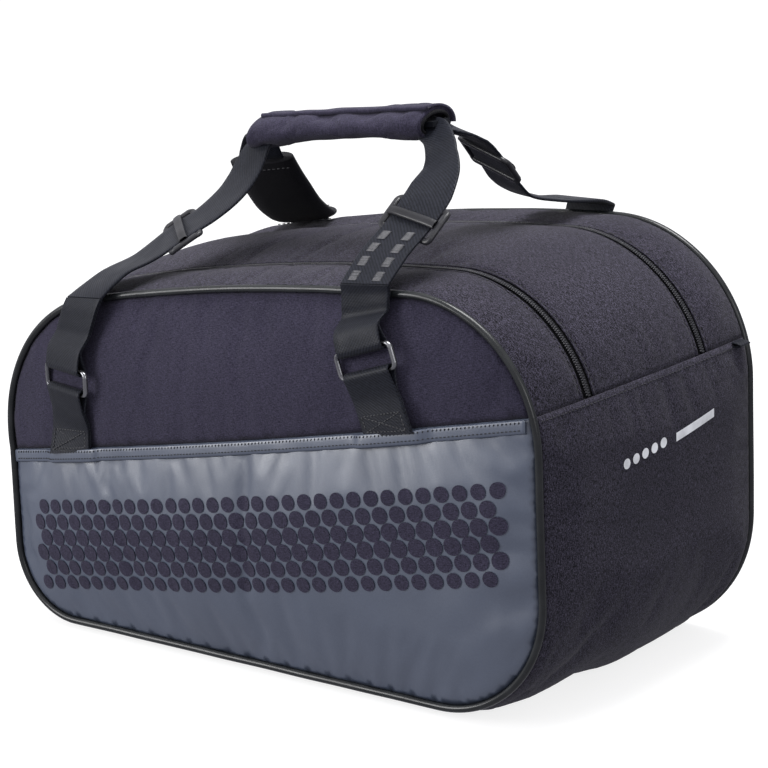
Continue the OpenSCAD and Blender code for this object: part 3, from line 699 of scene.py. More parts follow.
def panel_piece(name, part, side, material):
    """One panel as a triangulated sheet, domed, tucked in at its seam, and swollen."""
    o = 0.0 if side == "front" else BACK_GROW
    loop = panel_loop(part, o)
    ring = np.array(loop)
    points = [Vector(p) for p in loop + inside_points(ring, 5 * MM)]
    edges = [(i, (i + 1) % len(loop)) for i in range(len(loop))]
    flat, _, tris, *_ = geometry.delaunay_2d_cdt(points, edges, [], 1, 1e-6)
    sign = -1 if side == "front" else 1
    verts = []
    for p in flat:
        d = off_edge(ring, p.x, p.y)
        bulge = pillow(p.x, p.y - o)
        tuck = 1.6 * MM * math.exp(-d / (4 * MM))
        pucker = 0.7 * MM * soft((p.x, 0, p.y), 16 * MM, 2.0) * math.exp(-d / (14 * MM))
        slack = 0.8 * MM * soft((p.x, 0.1, p.y), 80 * MM, 5.0)
        if part == "lower" and side == "front":
            slack = creases(p.x, p.y)
        slack *= min(1.0, d / (12 * MM))
        verts.append(Vector((p.x, sign * (BAG_D / 2 + bulge - tuck + pucker + slack), p.y)))
    faces = []
    for t in tris:
        a, b, c = (flat[k] for k in t[:3])
        turn = (b - a).cross(c - a)
        faces.append(tuple(t) if (turn > 0) == (side == "front") else tuple(reversed(t)))
    obj = build(name, verts, faces, [(p.x, p.y) for p in flat], material)
    edge = [i for i, p in enumerate(flat) if off_edge(ring, p.x, p.y) < 1 * MM]
    settle(obj, edge, 3.0, 0.006 if part == "upper" else 0.009, 5 * MM)
    return thicken(obj, PANEL_T)


# ---------------------------------------------------------------- sweeps and ribbons
def smooth_route(route, step):
    """Catmull-Rom through given points; returns points, width directions and where each knot fell."""
    pts = [Vector(p) for p, _ in route]
    dirs = [Vector(w) for _, w in route]
    out_p, out_w, knots = [], [], []
    for i in range(len(pts) - 1):
        p0, p1, p2, p3 = pts[max(i - 1, 0)], pts[i], pts[i + 1], pts[min(i + 2, len(pts) - 1)]
        count = max(1, round((p2 - p1).length / step))
        knots.append(len(out_p))
        for k in range(count):
            t = k / count
            out_p.append(0.5 * ((2 * p1) + (p2 - p0) * t + (2 * p0 - 5 * p1 + 4 * p2 - p3) * t * t
                                + (3 * p1 - p0 - 3 * p2 + p3) * t ** 3))
            out_w.append(dirs[i].lerp(dirs[i + 1], t))
    knots.append(len(out_p))
    out_p.append(pts[-1])
    out_w.append(dirs[-1])
    return out_p, out_w, knots


def frames(points, widths):
    """Place, tangent, direction across and normal at each point; a slanting fold keeps its own direction."""
    found = []
    for i, p in enumerate(points):
        t = (points[min(i + 1, len(points) - 1)] - points[max(i - 1, 0)]).normalized()
        n = t.cross(widths[i]).normalized()
        found.append((p, t, widths[i].normalized(), n))
    return found


def ribbon_section(width, thick):
    """Flat webbing with round selvedges and a faint crown, as (across, up) pairs."""
    half, r = width / 2, thick / 2
    upper = [(half - r - (width - 2 * r) * k / 8, r) for k in range(9)]
    left = [(-half + r + r * math.cos(a), r * math.sin(a)) for a in (2.2, 3.14159, 4.08)]
    lower = [(-x, -z) for x, z in upper]
    right = [(-x, -z) for x, z in left]
    return upper + left + lower + right


def crisp_ends(cuts):
    """An extra cut just inside each end keeps the shading flat up to the cut edge."""
    (p, t, w, n), (q, u, v, m) = cuts[0], cuts[-1]
    nudge = 0.06 * MM
    return [cuts[0], (p + t * nudge, t, w, n)] + list(cuts[1:-1]) + [(q - u * nudge, u, v, m), cuts[-1]]


def bridge(rings, count, base=0):
    """Quads between successive closed rings of count points."""
    quads = []
    for j in range(rings - 1):
        a, b = base + j * count, base + (j + 1) * count
        for i in range(count):
            h = (i + 1) % count
            quads.append((a + i, a + h, b + h, b + i))
    return quads


def ribbon(name, cuts, material, width=WEB_W, thick=WEB_T, section=None):
    """Sweeps a section along frames and caps its ends."""
    section = section or ribbon_section(width, thick)
    cuts = crisp_ends(cuts)
    k = len(section)
    verts, uvs = [], []
    run = 0.0
    for j, (p, _, w, n) in enumerate(cuts):
        if j:
            run += (p - cuts[j - 1][0]).length
        for s in section:
            verts.append(p + w * s[0] + n * s[1])
            uvs.append((s[0], run))
    faces = bridge(len(cuts), k)
    faces.append(tuple(range(k - 1, -1, -1)))
    faces.append(tuple((len(cuts) - 1) * k + i for i in range(k)))
    return build(name, verts, faces, uvs, material)


def rounded_loop(half_w, half_h, r, steps):
    """A rounded rectangle as (across, up) pairs, with steps + 1 points to a corner."""
    found = []
    for cx, cy, a0 in ((half_w - r, half_h - r, 0), (-half_w + r, half_h - r, 90),
                       (-half_w + r, -half_h + r, 180), (half_w - r, -half_h + r, 270)):
        for k in range(steps + 1):
            a = math.radians(a0 + 90 * k / steps)
            found.append((cx + r * math.cos(a), cy + r * math.sin(a)))
    return found


def route_cuts(name, step, more=()):
    """Frames along a strap's route in metres, and the number of the frame at each of its places."""
    route = [(tuple(c * MM for c in p), w) for p, w in ROUTES[name] + list(more)]
    pts, widths, knots = smooth_route(route, step)
    return frames(pts, widths), knots


def oval(half_w, half_h, count=12, square_w=1.0, square_h=1.0):
    """A closed section round an oval; powers under 1 square it off."""
    found = []
    for k in range(count):
        c, d = math.cos(2 * math.pi * k / count), math.sin(2 * math.pi * k / count)
        found.append((half_w * math.copysign(abs(c) ** square_w, c),
                      half_h * math.copysign(abs(d) ** square_h, d)))
    return found


def ease(x):
    """A smooth rise from 0 to 1."""
    return x * x * (3 - 2 * x)


def piping(side, part, material):
    """The cord round one edge, above or below the end seams."""
    o = 0.0 if side == "front" else BACK_GROW
    y = PIPE_F if side == "front" else PIPE_R
    path = TOP if part == "upper" else BOTTOM
    points = []
    for p, n in path:
        wander = 0.25 * MM * soft((p[0], y, p[1]), 40 * MM, 9.0)
        z = p[1] + n[1] * (o + wander)
        points.append(Vector((p[0] + n[0] * (o + wander), y, max(z, 3.4 * MM))))
    cuts = frames(points, [Vector((0, 1, 0))] * len(points))
    obj = ribbon(f"{side}_{part}_piping_cord", cuts, material, section=oval(2.9 * MM, 2.9 * MM))
    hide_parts(f"{side}_{part}_piping")
    return obj


# ---------------------------------------------------------------- stitches
# Length, gap and radius of the stitches of each line
ZIP_STITCH = (2.8 * MM, 1.0 * MM, 0.36 * MM)
SEAM_STITCH = (3.0 * MM, 1.0 * MM, 0.4 * MM)
GRIP_STITCH = (2.8 * MM, 1.0 * MM, 0.42 * MM)
TAB_STITCH = (2.4 * MM, 0.8 * MM, 0.4 * MM)
SLEEVE_STITCH = (3.0 * MM, 1.0 * MM, 0.45 * MM)


class Threads:
    """Many stitches in one mesh, each a small rounded lozenge."""

    def __init__(self):
        self.verts, self.faces = [], []

    def stitch(self, centre, along, normal, length, radius):
        side = normal.cross(along).normalized()
        base = len(self.verts)
        self.verts.append(centre - along * length / 2)
        for f in (-0.28, 0.28):
            for k in range(6):
                a = math.pi * k / 3
                self.verts.append(centre + along * length * f + side * radius * math.cos(a)
                                  + normal * radius * math.sin(a))
        self.verts.append(centre + along * length / 2)
        for k in range(6):
            h = (k + 1) % 6
            self.faces.append((base, base + 1 + h, base + 1 + k))
            self.faces.append((base + 1 + k, base + 1 + h, base + 7 + h, base + 7 + k))
            self.faces.append((base + 13, base + 7 + k, base + 7 + h))

    def run(self, points, normals, length, gap, radius):
        """Even stitches along a polyline."""
        travel = [0.0]
        for a, b in zip(points, points[1:]):
            travel.append(travel[-1] + (b - a).length)
        place, k = length / 2, 0
        while place < travel[-1] - length / 2:
            while travel[k + 1] < place:
                k += 1
            t = (place - travel[k]) / max(1e-9, travel[k + 1] - travel[k])
            p = points[k].lerp(points[k + 1], t)
            n = normals[k].lerp(normals[k + 1], t).normalized()
            along = (points[k + 1] - points[k]).normalized()
            self.stitch(p + n * radius * 0.5, along, n, length, radius)
            place += length + gap

    def finish(self, name, material, slot):
        return build(name, self.verts, self.faces, None, material)


def surface_of(obj):
    """A search tree over a piece's outer surface at rest."""
    mesh = obj.data
    return BVHTree.FromPolygons([v.co.copy() for v in mesh.vertices],
                                [tuple(p.vertices) for p in mesh.polygons])


def laid(tree, points):
    """Drops points onto a surface; returns them a little proud of it, and the normals."""
    out_p, out_n = [], []
    for p in points:
        at, n, _, _ = tree.find_nearest(p)
        out_p.append(at + n * 0.1 * MM)
        out_n.append(n)
    return out_p, out_n


# ---------------------------------------------------------------- zips
def zips(tape_mat, coil_mat):
    """Both zips: a tape and half of the coil each side of each."""
    for side, zc in (("front", ZIP_F), ("rear", ZIP_R)):
        outward = -1 if side == "front" else 1
        for part, sign in (("outer", outward), ("inner", -outward)):
            rows, uvs = [], []
            for d in (0.35, 2, 4, 7.5):
                y = zc + sign * d * MM
                rows.append([top_point(i, y, -1.6 * MM) for i in range(len(TOP))])
                uvs.append([(i * STEP, y) for i in range(len(TOP))])
            if sign < 0:
                rows.reverse()
                uvs.reverse()
            tape = thicken(grid(f"{side}_{part}_zip_tape", rows, uvs, tape_mat), 0.7 * MM)
            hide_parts(f"{side}_{part}_tape")
            coil = coil_half(f"{side}_{part}_zip_coil", zc, sign, coil_mat)
            for piece in (tape, coil):
                if part == "outer":
                    follow_flap(piece)
                else:
                    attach(piece, "bag")


COIL_PITCH = 1.9 * MM


def coil_half(name, zc, sign, material):
    """One side's nylon coil: a row of teeth that reach just past the middle."""
    threads = Threads()
    centre = [top_point(i, zc, 0.5 * MM) for i in range(len(TOP))]
    total = sum((b - a).length for a, b in zip(centre, centre[1:]))
    shift = 0.5 if sign > 0 else 0.0
    k, travelled = 0, 0.0
    for j in range(int(total / COIL_PITCH)):
        place = (j + 0.25 + shift) * COIL_PITCH
        while k < len(centre) - 2 and travelled + (centre[k + 1] - centre[k]).length < place:
            travelled += (centre[k + 1] - centre[k]).length
            k += 1
        step = centre[k + 1] - centre[k]
        p = centre[k] + step.normalized() * (place - travelled)
        n, across = Vector((TOP[k][1][0], 0, TOP[k][1][1])), Vector((0, sign, 0))
        threads.stitch(p + across * 1.1 * MM, across, n, 3.9 * MM, 0.8 * MM)
    return threads.finish(name, material, "zip_tape")


# ---------------------------------------------------------------- straps, tabs, sleeve
TURN_R = RING_WIRE + 0.6 * MM + WEB_T / 2
LAYER = WEB_T / 2 + 0.1 * MM
REST = 2 * LAYER + 1.3 * MM
NEAR_BAR = 14 * MM


def ring_axes(end):
    """A ring's directions: along its bars, out from the panel, and up across its bars."""
    along = RING_DIR[end].normalized()
    out = along.cross(Vector((0, 0, 1))).normalized()
    return along, out, out.cross(along)


def skin_y(x, z, o):
    """The front panel's face; o is the growth of its outline."""
    return -BAG_D / 2 - pillow(x, z - o)


def clear_y(x, z, way, half, o, gap):
    """The Y that clears the panel along a whole line across the webbing."""
    steps = (-1, -0.5, 0, 0.5, 1)
    return min(skin_y(x + k * half * way.x, z + k * half * way.z, o) - k * half * way.y for k in steps) - gap


def ring_centre(end, side):
    o = 0.0 if side == "front" else BACK_GROW
    along, _, up = ring_axes(end)
    x, z, half = RING_X[end], seam_z(RING_X[end]) + RING_ABOVE[end], RING_INNER / 2 + RING_WIRE
    rows = [v * RING_PITCH / 2 for v in (-1, 0, 1)]
    y = min(clear_y(x + v * up.x, z + v * up.z, along, half, o, 0) - v * up.y for v in rows)
    return Vector((x, y - TURN_R - WEB_T / 2 - 0.4 * MM, z))


def mirrored(points, side):
    return points if side == "front" else [Vector((p.x, -p.y, p.z)) for p in points]


def climb(foot, foot_dir, end, side, sign, steps):
    """Points and widths from a foot on the panel to a ring's bar, the last one square to the bar."""
    o = 0.0 if side == "front" else BACK_GROW
    along, _, up = ring_axes(end)
    bar = ring_centre(end, side) + sign * RING_PITCH / 2 * up
    near = bar + sign * NEAR_BAR * up
    points = []
    for t in steps:
        p = Vector((foot.x, 0, foot.z)).lerp(Vector((near.x, 0, near.z)), t)
        w = foot_dir.lerp(along, t)
        p.y = clear_y(p.x, p.z, w.normalized(), WEB_W / 2, o, REST)
        points.append((p, w))
    return points + [(near, along)], bar


def double_route(points, bar, end, sign):
    """Down one layer, round a ring's bar, and back along the other layer."""
    along, out, up = ring_axes(end)
    there = [(p + out * LAYER, w) for p, w in points]
    turn = [(bar + TURN_R * (math.cos(a) * out - math.sin(a) * sign * up), along)
            for a in (math.pi * k / 10 for k in range(11))]
    back = [(p - out * LAYER, w) for p, w in reversed(points)]
    return there + turn + back


def ring_piece(side, end, material):
    """A bent wire ring with round corners."""
    along, _, up = ring_axes(end)
    c = ring_centre(end, side)
    flat = rounded_loop(RING_INNER / 2 + RING_WIRE, RING_PITCH / 2, 5 * MM, 6)
    loop = [c + along * x + up * z for x, z in flat]
    ring = closed_tube(f"{side}_{end}_wire_ring", mirrored(loop, side), 2.1 * MM, material)
    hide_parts(f"{side}_{end}_ring")
    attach(ring, f"{side}_flap")


def folded_strap(name, side, points, bar, end, sign, material):
    """Webbing in two layers, folded round a ring's bar."""
    route = double_route(points, bar, end, sign)
    pts, widths, _ = smooth_route([(tuple(p), tuple(w)) for p, w in route], 2.5 * MM)
    pts = mirrored(pts, side)
    widths = [Vector((w.x, w.y if side == "front" else -w.y, w.z)) for w in widths]
    return ribbon(name, frames(pts, widths), material)


def tab_points(side, end):
    foot = Vector((TAB_X[end], 0, seam_z(TAB_X[end]) - 2 * MM))
    level = Vector((math.cos(SEAM_SLOPE), 0, math.sin(SEAM_SLOPE)))
    return climb(foot, level, end, side, -1, (0, 0.25, 0.5, 0.75))


def strap_points(name):
    """Points of a strap's stretch on the panel, from the panel's top edge down to the ring."""
    side, end = name.split("_")
    place, width = ROUTES[name][0]
    flip = 1 if side == "front" else -1
    head = Vector((place[0] * MM, -abs(place[1]) * MM, place[2] * MM))
    head_dir = Vector((width[0], flip * width[1], width[2]))
    rise, bar = climb(head, head_dir, end, side, 1, (0.18, 0.36, 0.54, 0.72))
    over_cord = PIPE_F - 3.5 * MM - REST - WEB_T / 2
    level = []
    for p, w in rise:
        q = p.copy()
        q.y = min(q.y, over_cord - abs(w.normalized().y) * WEB_W / 2)
        level.append((q, w))
    return [(head, head_dir)] + level, bar


def straps(material, metal, thread_mat, patch_mat, sleeve_mat):
    """Rings, tabs and all four straps, with the sleeve and the woven blocks."""
    for side in ("front", "rear"):
        for end in ("low", "high"):
            ring_piece(side, end, metal)
            name = f"{side}_{end}"
            points, bar = tab_points(side, end)
            tab = folded_strap(f"{name}_tab_webbing", side, points, bar, end, -1, material)
            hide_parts(f"{name}_tab")
            follow_flap(tab)
            stitched = box_stitch(f"{name}_tab_stitches", points, end, thread_mat, side)
            follow_flap(stitched)
            points, bar = strap_points(name)
            low = folded_strap(f"{name}_strap_webbing", side, points, bar, end, 1, material)
            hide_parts(f"{name}_strap")
            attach(low, f"{side}_flap")
            upper_strap(name, material)
    sleeve(sleeve_mat, thread_mat)
    patches(patch_mat)


def upper_strap(name, material):
    """One run of webbing over the panel's edge, up to the grip and into its wrap, in three pieces."""
    cuts, knots = route_cuts(name, 2.5 * MM, ENTRIES[name][1:])
    cut, top = knots[BEND_END], knots[len(ROUTES[name]) - 1]
    cuts = gathered(cuts, top - 10)
    lower = ribbon(f"{name}_bend_webbing", cuts[:cut + 1], material, thick=2.6 * MM)
    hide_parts(f"{name}_bend")
    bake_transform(lower)
    riser = ribbon(f"{name}_riser_webbing", cuts[cut:top + 1], material, thick=2.2 * MM)
    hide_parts(f"{name}_riser")
    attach(riser, "bag")
    squash_with_handle(riser)
    inside = ribbon(f"{name}_entry_webbing", cuts[top:], material, thick=2.2 * MM)
    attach(inside, "handle")


def gathered(cuts, start):
    """The webbing folds in along its length as it enters the wrap."""
    found = []
    for i, (p, t, w, n) in enumerate(cuts):
        k = max(0.0, (i - start) / (len(cuts) - 1 - start))
        found.append((p, t, w * (1 - 0.5 * ease(k)), n))
    return found


def squash_with_handle(piece):
    """Gives a piece its own copy of its mesh."""
    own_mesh(piece)


def box_stitch(name, points, end, material, side):
    """A sewn box with a cross on a tab, on its outer layer."""
    threads = Threads()
    half = WEB_W / 2 - 4 * MM
    (low, wl), (high, wh) = points[0], points[2]
    _, out, _ = ring_axes(end)
    low = low.lerp(high, 0.18)
    corners = [low - wl.normalized() * half, low + wl.normalized() * half,
               high + wh.normalized() * half, high - wh.normalized() * half]
    corners = [c + out * (LAYER + WEB_T / 2) for c in corners]
    corners = mirrored(corners, side)
    facing = mirrored([out], side)[0]
    for a, b in [(0, 1), (1, 2), (2, 3), (3, 0), (0, 2), (1, 3)]:
        line = [corners[a].lerp(corners[b], k / 8) for k in range(9)]
        threads.run(line, [facing] * len(line), *TAB_STITCH)
    return threads.finish(name, material, "webbing")


def sleeve(material, thread_mat):
    """The padded sleeve round the strap at the back of the low end."""
    cuts, knots = route_cuts("rear_low", 3 * MM)
    cuts = cuts[knots[BEND_END] + 4:knots[8]]
    obj = ribbon("rear_low_sleeve", cuts, material,
                 section=oval(27 * MM, 5.5 * MM, 24, 0.55, 1.0))
    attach(obj, "bag")
    squash_with_handle(obj)
    threads = Threads()
    for j in (3, len(cuts) - 4):
        p, _, w, n = cuts[j]
        for s in (-1, 1):
            line = [p + w * (x * 25 * MM) + n * s * 5.3 * MM for x in (-1, -0.5, 0, 0.5, 1)]
            threads.run(line, [n * s] * 5, *SLEEVE_STITCH)
    stitched = threads.finish("rear_low_sleeve_stitches", thread_mat, "grip_fabric")
    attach(stitched, "bag")
    squash_with_handle(stitched)


def patches(material):
    """Plain woven blocks in two columns on the strap at the front of the high end."""
    cuts, knots = route_cuts("front_high", 2 * MM)
    parts = {"bend": Threads(), "riser": Threads()}
    for index in range(2, knots[GLIDE_AT["front_high"]] - 6):
        if (index - 2) % 6 > 3:
            continue
        p, t, w, n = cuts[index]
        facing = n if n.y < 0 else -n
        part = parts["bend" if index < knots[BEND_END] else "riser"]
        for col in (-0.28, 0.22):
            for half in (0.0, 0.5):
                centre = p + t * (half * 2 * MM) + w * (col * WEB_W) + facing * 1.4 * MM
                part.stitch(centre, w, facing, 9.0 * MM, 0.42 * MM)
    bend = parts["bend"].finish("front_high_woven_blocks_low", material, "webbing")
    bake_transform(bend)
    riser = parts["riser"].finish("front_high_woven_blocks", material, "webbing")
    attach(riser, "bag")
    squash_with_handle(riser)


# ---------------------------------------------------------------- adjusters
SLIDE_HALF_W, SLIDE_HALF_L = WEB_W / 2 + 3.4 * MM, 13 * MM


def slide_frame(bar):
    """The slide's outer frame, its ends sunk round the webbing."""
    loop = [Vector((x, y, 0)) for x, y in rounded_loop(SLIDE_HALF_W, SLIDE_HALF_L, 3.2 * MM, 4)]
    verts, faces = [], []
    k, count = len(bar), len(loop)
    for j, p in enumerate(loop):
        tangent = (loop[(j + 1) % count] - loop[j - 1]).normalized()
        outward = Vector((tangent.y, -tangent.x, 0))
        sink = -2.6 * MM * min(1.0, abs(p.y) / SLIDE_HALF_L) ** 2 + 1.2 * MM
        verts += [p + outward * s[0] + Vector((0, 0, s[1] + sink)) for s in bar]
        a, b = j * k, ((j + 1) % count) * k
        faces += [(a + i, b + i, b + (i + 1) % k, a + (i + 1) % k) for i in range(k)]
    return verts, faces


def middle_bar(bar, steps=9):
    """The slide's middle bar, arched over the webbing."""
    verts = []
    for j in range(steps):
        x = -SLIDE_HALF_W + 1.5 * MM + (2 * SLIDE_HALF_W - 3 * MM) * j / (steps - 1)
        rise = 3.4 * MM - 1.4 * MM * abs(2 * j / (steps - 1) - 1) ** 6
        verts += [Vector((x, s[0] * 1.35, rise + s[1] * 0.9)) for s in bar]
    return verts


def adjuster(name, material):
    """A moulded three-bar slide on a strap."""
    route = [(Vector(p) * MM, Vector(w)) for p, w in ROUTES[name]]
    i = GLIDE_AT[name]
    t = (route[i + 1][0] - route[i - 1][0]).normalized()
    n = t.cross(route[i][1]).normalized()
    w = n.cross(t)
    up = n if n.z > 0 else -n
    turn = Matrix((w, up.cross(w), up)).transposed().to_4x4()
    place = Matrix.Translation(route[i][0]) @ turn
    section = oval(2.7 * MM, 2.0 * MM, 12, 0.7, 0.7)
    verts, faces = slide_frame(section)
    middle = middle_bar(section)
    faces += bridge(len(middle) // len(section), len(section), len(verts))
    obj = build(f"{name}_adjuster_slide", [place @ v for v in verts + middle], faces, None, material)
    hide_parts(f"{name}_glide")
    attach(obj, f"{name}_adjuster")


# ---------------------------------------------------------------- grip
GRIP_DIR = Vector((math.cos(GRIP_TILT), 0, math.sin(GRIP_TILT)))
GRIP_UP = Vector((-math.sin(GRIP_TILT), 0, math.cos(GRIP_TILT)))
# Angles round the grip, in degrees, of the flap's sewn edge, its hinge line and its free edge
FLAP_SEWN, FLAP_HINGE, FLAP_FREE = 121, 110, -10
FLAP_COLS = 53


def grip_point(s, a, d=0.0):
    """A point round the grip, s along it, at the angle a and d off its section."""
    arch = 4 * MM * (1 - (2 * s - 1) ** 2) * max(0.0, -math.sin(a))
    centre = GRIP_C + GRIP_DIR * ((s - 0.5) * GRIP_LEN)
    wobble = 0.7 * MM * soft(centre + Vector((0, math.cos(a), math.sin(a))) * 20 * MM, 22 * MM, 11.0)
    r = d + wobble
    return centre + Vector((0, (GRIP_D + r) * math.cos(a), 0)) + GRIP_UP * ((GRIP_H + r) * math.sin(a) + arch)


SLIM = -2.6 * MM  # the wrap is cut this much under the section, as it swells


def wrap_end(a, end):
    """Where the wrap ends round its section: the low end slants, its lower front reaching furthest."""
    if end == "low":
        return -0.028 + 0.085 * (1 + math.sin(a)) / 2
    return 0.94 + 0.03 * (1 + math.sin(a)) / 2


def wrap_point(t, a, d=0.0):
    """A point of the wrap, t from its low end to its high end."""
    s = wrap_end(a, "low") * (1 - t) + wrap_end(a, "high") * t
    pinch = 1.5 * MM * math.exp(-((1 - t) / 0.05) ** 2) + 1.0 * MM * math.exp(-(t / 0.05) ** 2)
    return grip_point(s, a, SLIM + d - pinch)


def flap_sheet(name, start, end, turns, material):
    """Part of the flap round the wrap, between two angles in degrees, with low waves."""
    rows, uvs = [], []
    for k in range(turns + 1):
        degrees = start + (end - start) * k / turns
        roll = 2.0 * MM * math.exp(-(FLAP_SEWN - degrees) / 14)
        line = []
        for j in range(FLAP_COLS):
            wave = 0.35 * MM * soft((j * 3.4, (FLAP_SEWN - degrees) * 0.34, 5.0), 22.0, 4.4)
            s = 0.075 + 0.9 * j / (FLAP_COLS - 1)
            line.append(grip_point(s, math.radians(degrees), 0.4 * MM + roll + wave))
        rows.append(line)
        uvs.append([(j * 3.4 * MM, math.radians(degrees) * 20 * MM) for j in range(FLAP_COLS)])
    return grid(name, rows, uvs, material)


def grip(cloth, binding, thread_mat):
    """The wrap with its bound ends, the foam inside, the flap and the stitches."""
    wrap_cloth(cloth)
    for label, t in (("low", 0.004), ("high", 0.996)):
        loop = [wrap_point(t, 2 * math.pi * k / 48, -1.0 * MM) for k in range(48)]
        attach(closed_tube(f"grip_{label}_binding", loop, 1.7 * MM, binding), "handle")
    cuts = [(GRIP_C + GRIP_DIR * (x * MM), GRIP_DIR, Vector((0, 1, 0)), GRIP_UP)
            for x in (-66, -64, 0, 66, 68)]
    foam = ribbon("grip_foam", cuts, binding, section=oval(12.5 * MM, 5.0 * MM, 24))
    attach(foam, "handle")
    grip_flap(cloth)
    threads = Threads()
    for t in (0.05, 0.95):
        line = [wrap_point(t, math.radians(a), 0.5 * MM) for a in range(-120, -235, -8)]
        normals = [(p - (GRIP_C + GRIP_DIR * ((t - 0.5) * GRIP_LEN))).normalized() for p in line]
        threads.run(line, normals, *GRIP_STITCH)
    stitched = threads.finish("grip_stitches", thread_mat, "grip_fabric")
    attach(stitched, "handle")


def wrap_cloth(cloth):
    steps, turns = 64, 48
    rows, uvs = [], []
    for j in range(steps + 1):
        rows.append([wrap_point(j / steps, -2 * math.pi * k / turns) for k in range(turns)])
        uvs.append([(2 * math.pi * k / turns * 17 * MM, j / steps * GRIP_LEN) for k in range(turns)])
    wrap = grid("grip_wrap_cloth", rows, uvs, cloth, closed=True)
    settle(wrap, rows_pinned(steps + 1, turns, 2, 0), 1.2, 0.02, 1.4 * MM)
    thicken(wrap, 3.2 * MM)
    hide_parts("grip_wrap")
    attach(wrap, "handle")


def grip_flap(cloth):
    """The flap; its sewn edge up to the hinge line stays with the wrap."""
    sewn = thicken(flap_sheet("grip_flap_sewn_roll", FLAP_SEWN, FLAP_HINGE - 1, 6, cloth), 2.2 * MM)
    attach(sewn, "handle")
    flap = thicken(flap_sheet("grip_flap_cloth", FLAP_HINGE, FLAP_FREE, 22, cloth), 2.2 * MM)
    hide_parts("grip_flap")
    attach(flap, "handle_flap")
    line = []
    for j in range(61):
        wave = 0.35 * MM * soft((j * 3.0, 0, 0), 20.0, 4.4)
        line.append(grip_point(0.073 + 0.904 * j / 60, math.radians(FLAP_SEWN), 1.5 * MM + wave))
    edge = ribbon("grip_flap_binding", frames(line, [Vector((0, 1, 0))] * 61), cloth,
                  section=oval(1.9 * MM, 1.9 * MM))
    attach(edge, "handle")


def closed_tube(name, loop, radius, material):
    """A round tube along a closed loop."""
    count = len(loop)
    rows, uvs = [], []
    middle = sum(loop, Vector()) / count
    for j, p in enumerate(loop):
        tangent = (loop[(j + 1) % count] - loop[j - 1]).normalized()
        outward = (p - middle).normalized()
        side = tangent.cross(outward).normalized()
        rows.append([p + outward * radius * math.cos(a) + side * radius * math.sin(a)
                     for a in (2 * math.pi * k / 12 for k in range(12))])
        uvs.append([(k * MM, j * MM) for k in range(12)])
    rows.append(rows[0])
    uvs.append(uvs[0])
    return grid(name, rows, uvs, material, closed=True)


# ---------------------------------------------------------------- sewn lines and graphics
def seam_stitches(pieces, dark_thread):
    """Topstitching beside the zips and at the end seams."""
    plan = [("front_strip", ZIP_F - 8.4 * MM, "front"), ("mid_gusset", ZIP_F + 8.6 * MM, None),
            ("mid_gusset", ZIP_R - 8.4 * MM, None), ("rear_strip", ZIP_R + 8.6 * MM, "rear")]
    for number, (node, y, side) in enumerate(plan):
        tree = surface_of(pieces[node])
        line, normals = laid(tree, [top_point(i, y, 0) for i in range(1, len(TOP) - 1)])
        threads = Threads()
        threads.run(line, normals, *ZIP_STITCH)
        obj = threads.finish(f"zip_topstitch_{number}", dark_thread, "heather_fabric")
        if side:
            follow_flap(obj)
        else:
            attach(obj, "bag")
    tree = surface_of(pieces["lower_gusset"])
    threads = Threads()
    for i in (1, len(BOTTOM) - 2):
        line, normals = laid(tree, [bottom_point(i, y) for y in span(PIPE_F + 6 * MM, PIPE_R - 6 * MM)])
        threads.run(line, normals, *SEAM_STITCH)
    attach(threads.finish("end_seam_topstitch", dark_thread, "heather_fabric"), "bag")


# Down from the seam and out from the panel, in mm, across the hem
HEM_PROFILE = ((11, -1.4), (10, 0.2), (9.2, 0.7), (7, 0.8), (4, 0.85), (1.5, 0.8), (0.5, 0.5), (0.0, -0.6))


def hem_band(material, thread_mat):
    """The coated panel's folded top hem, standing off where it lies over the tabs."""
    def lift(x):
        near = min(abs(x - TAB_X["low"]), abs(x - TAB_X["high"]))
        over = max(0.0, min(1.0, (34 * MM - near) / (10 * MM)))
        return 1.5 * MM + (REST + LAYER - 0.2 * MM) * ease(over)
    xs = span(SEAM_LOW[0] + 1 * MM, SEAM_HIGH[0] - 1 * MM, 3 * MM)
    rows, uvs = [], []
    for down, depth in HEM_PROFILE:
        row = []
        for x in xs:
            z = seam_z(x) - down * MM
            bump = 0.35 * MM * soft((x, 0, z), 14 * MM, 3.3)
            row.append(Vector((x, skin_y(x, z, 0) - lift(x) - depth * MM - bump, z)))
        rows.append(row)
        uvs.append([(x, down * MM) for x in xs])
    band = thicken(grid("front_hem_band", rows, uvs, material), 0.9 * MM)
    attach(band, "bag")
    threads = Threads()
    for x in span(SEAM_LOW[0] + 6 * MM, SEAM_HIGH[0] - 6 * MM, 3.3 * MM):
        for down, way, length in ((1.9, Vector((0.3, 0, 0.95)), 1.9), (7.4, Vector((0.98, 0, 0.18)), 2.2)):
            z = seam_z(x) - down * MM
            p = Vector((x, skin_y(x, z, 0) - lift(x) - 1.0 * MM, z))
            threads.stitch(p, way.normalized(), Vector((0, -1, 0)), length * MM, 0.42 * MM)
    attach(threads.finish("front_hem_stitches", thread_mat, "slate_tarpaulin"), "bag")


def disc(centre, radius, count=14):
    return [(centre[0] + radius * math.cos(2 * math.pi * k / count),
             centre[1] + radius * math.sin(2 * math.pi * k / count)) for k in range(count)]


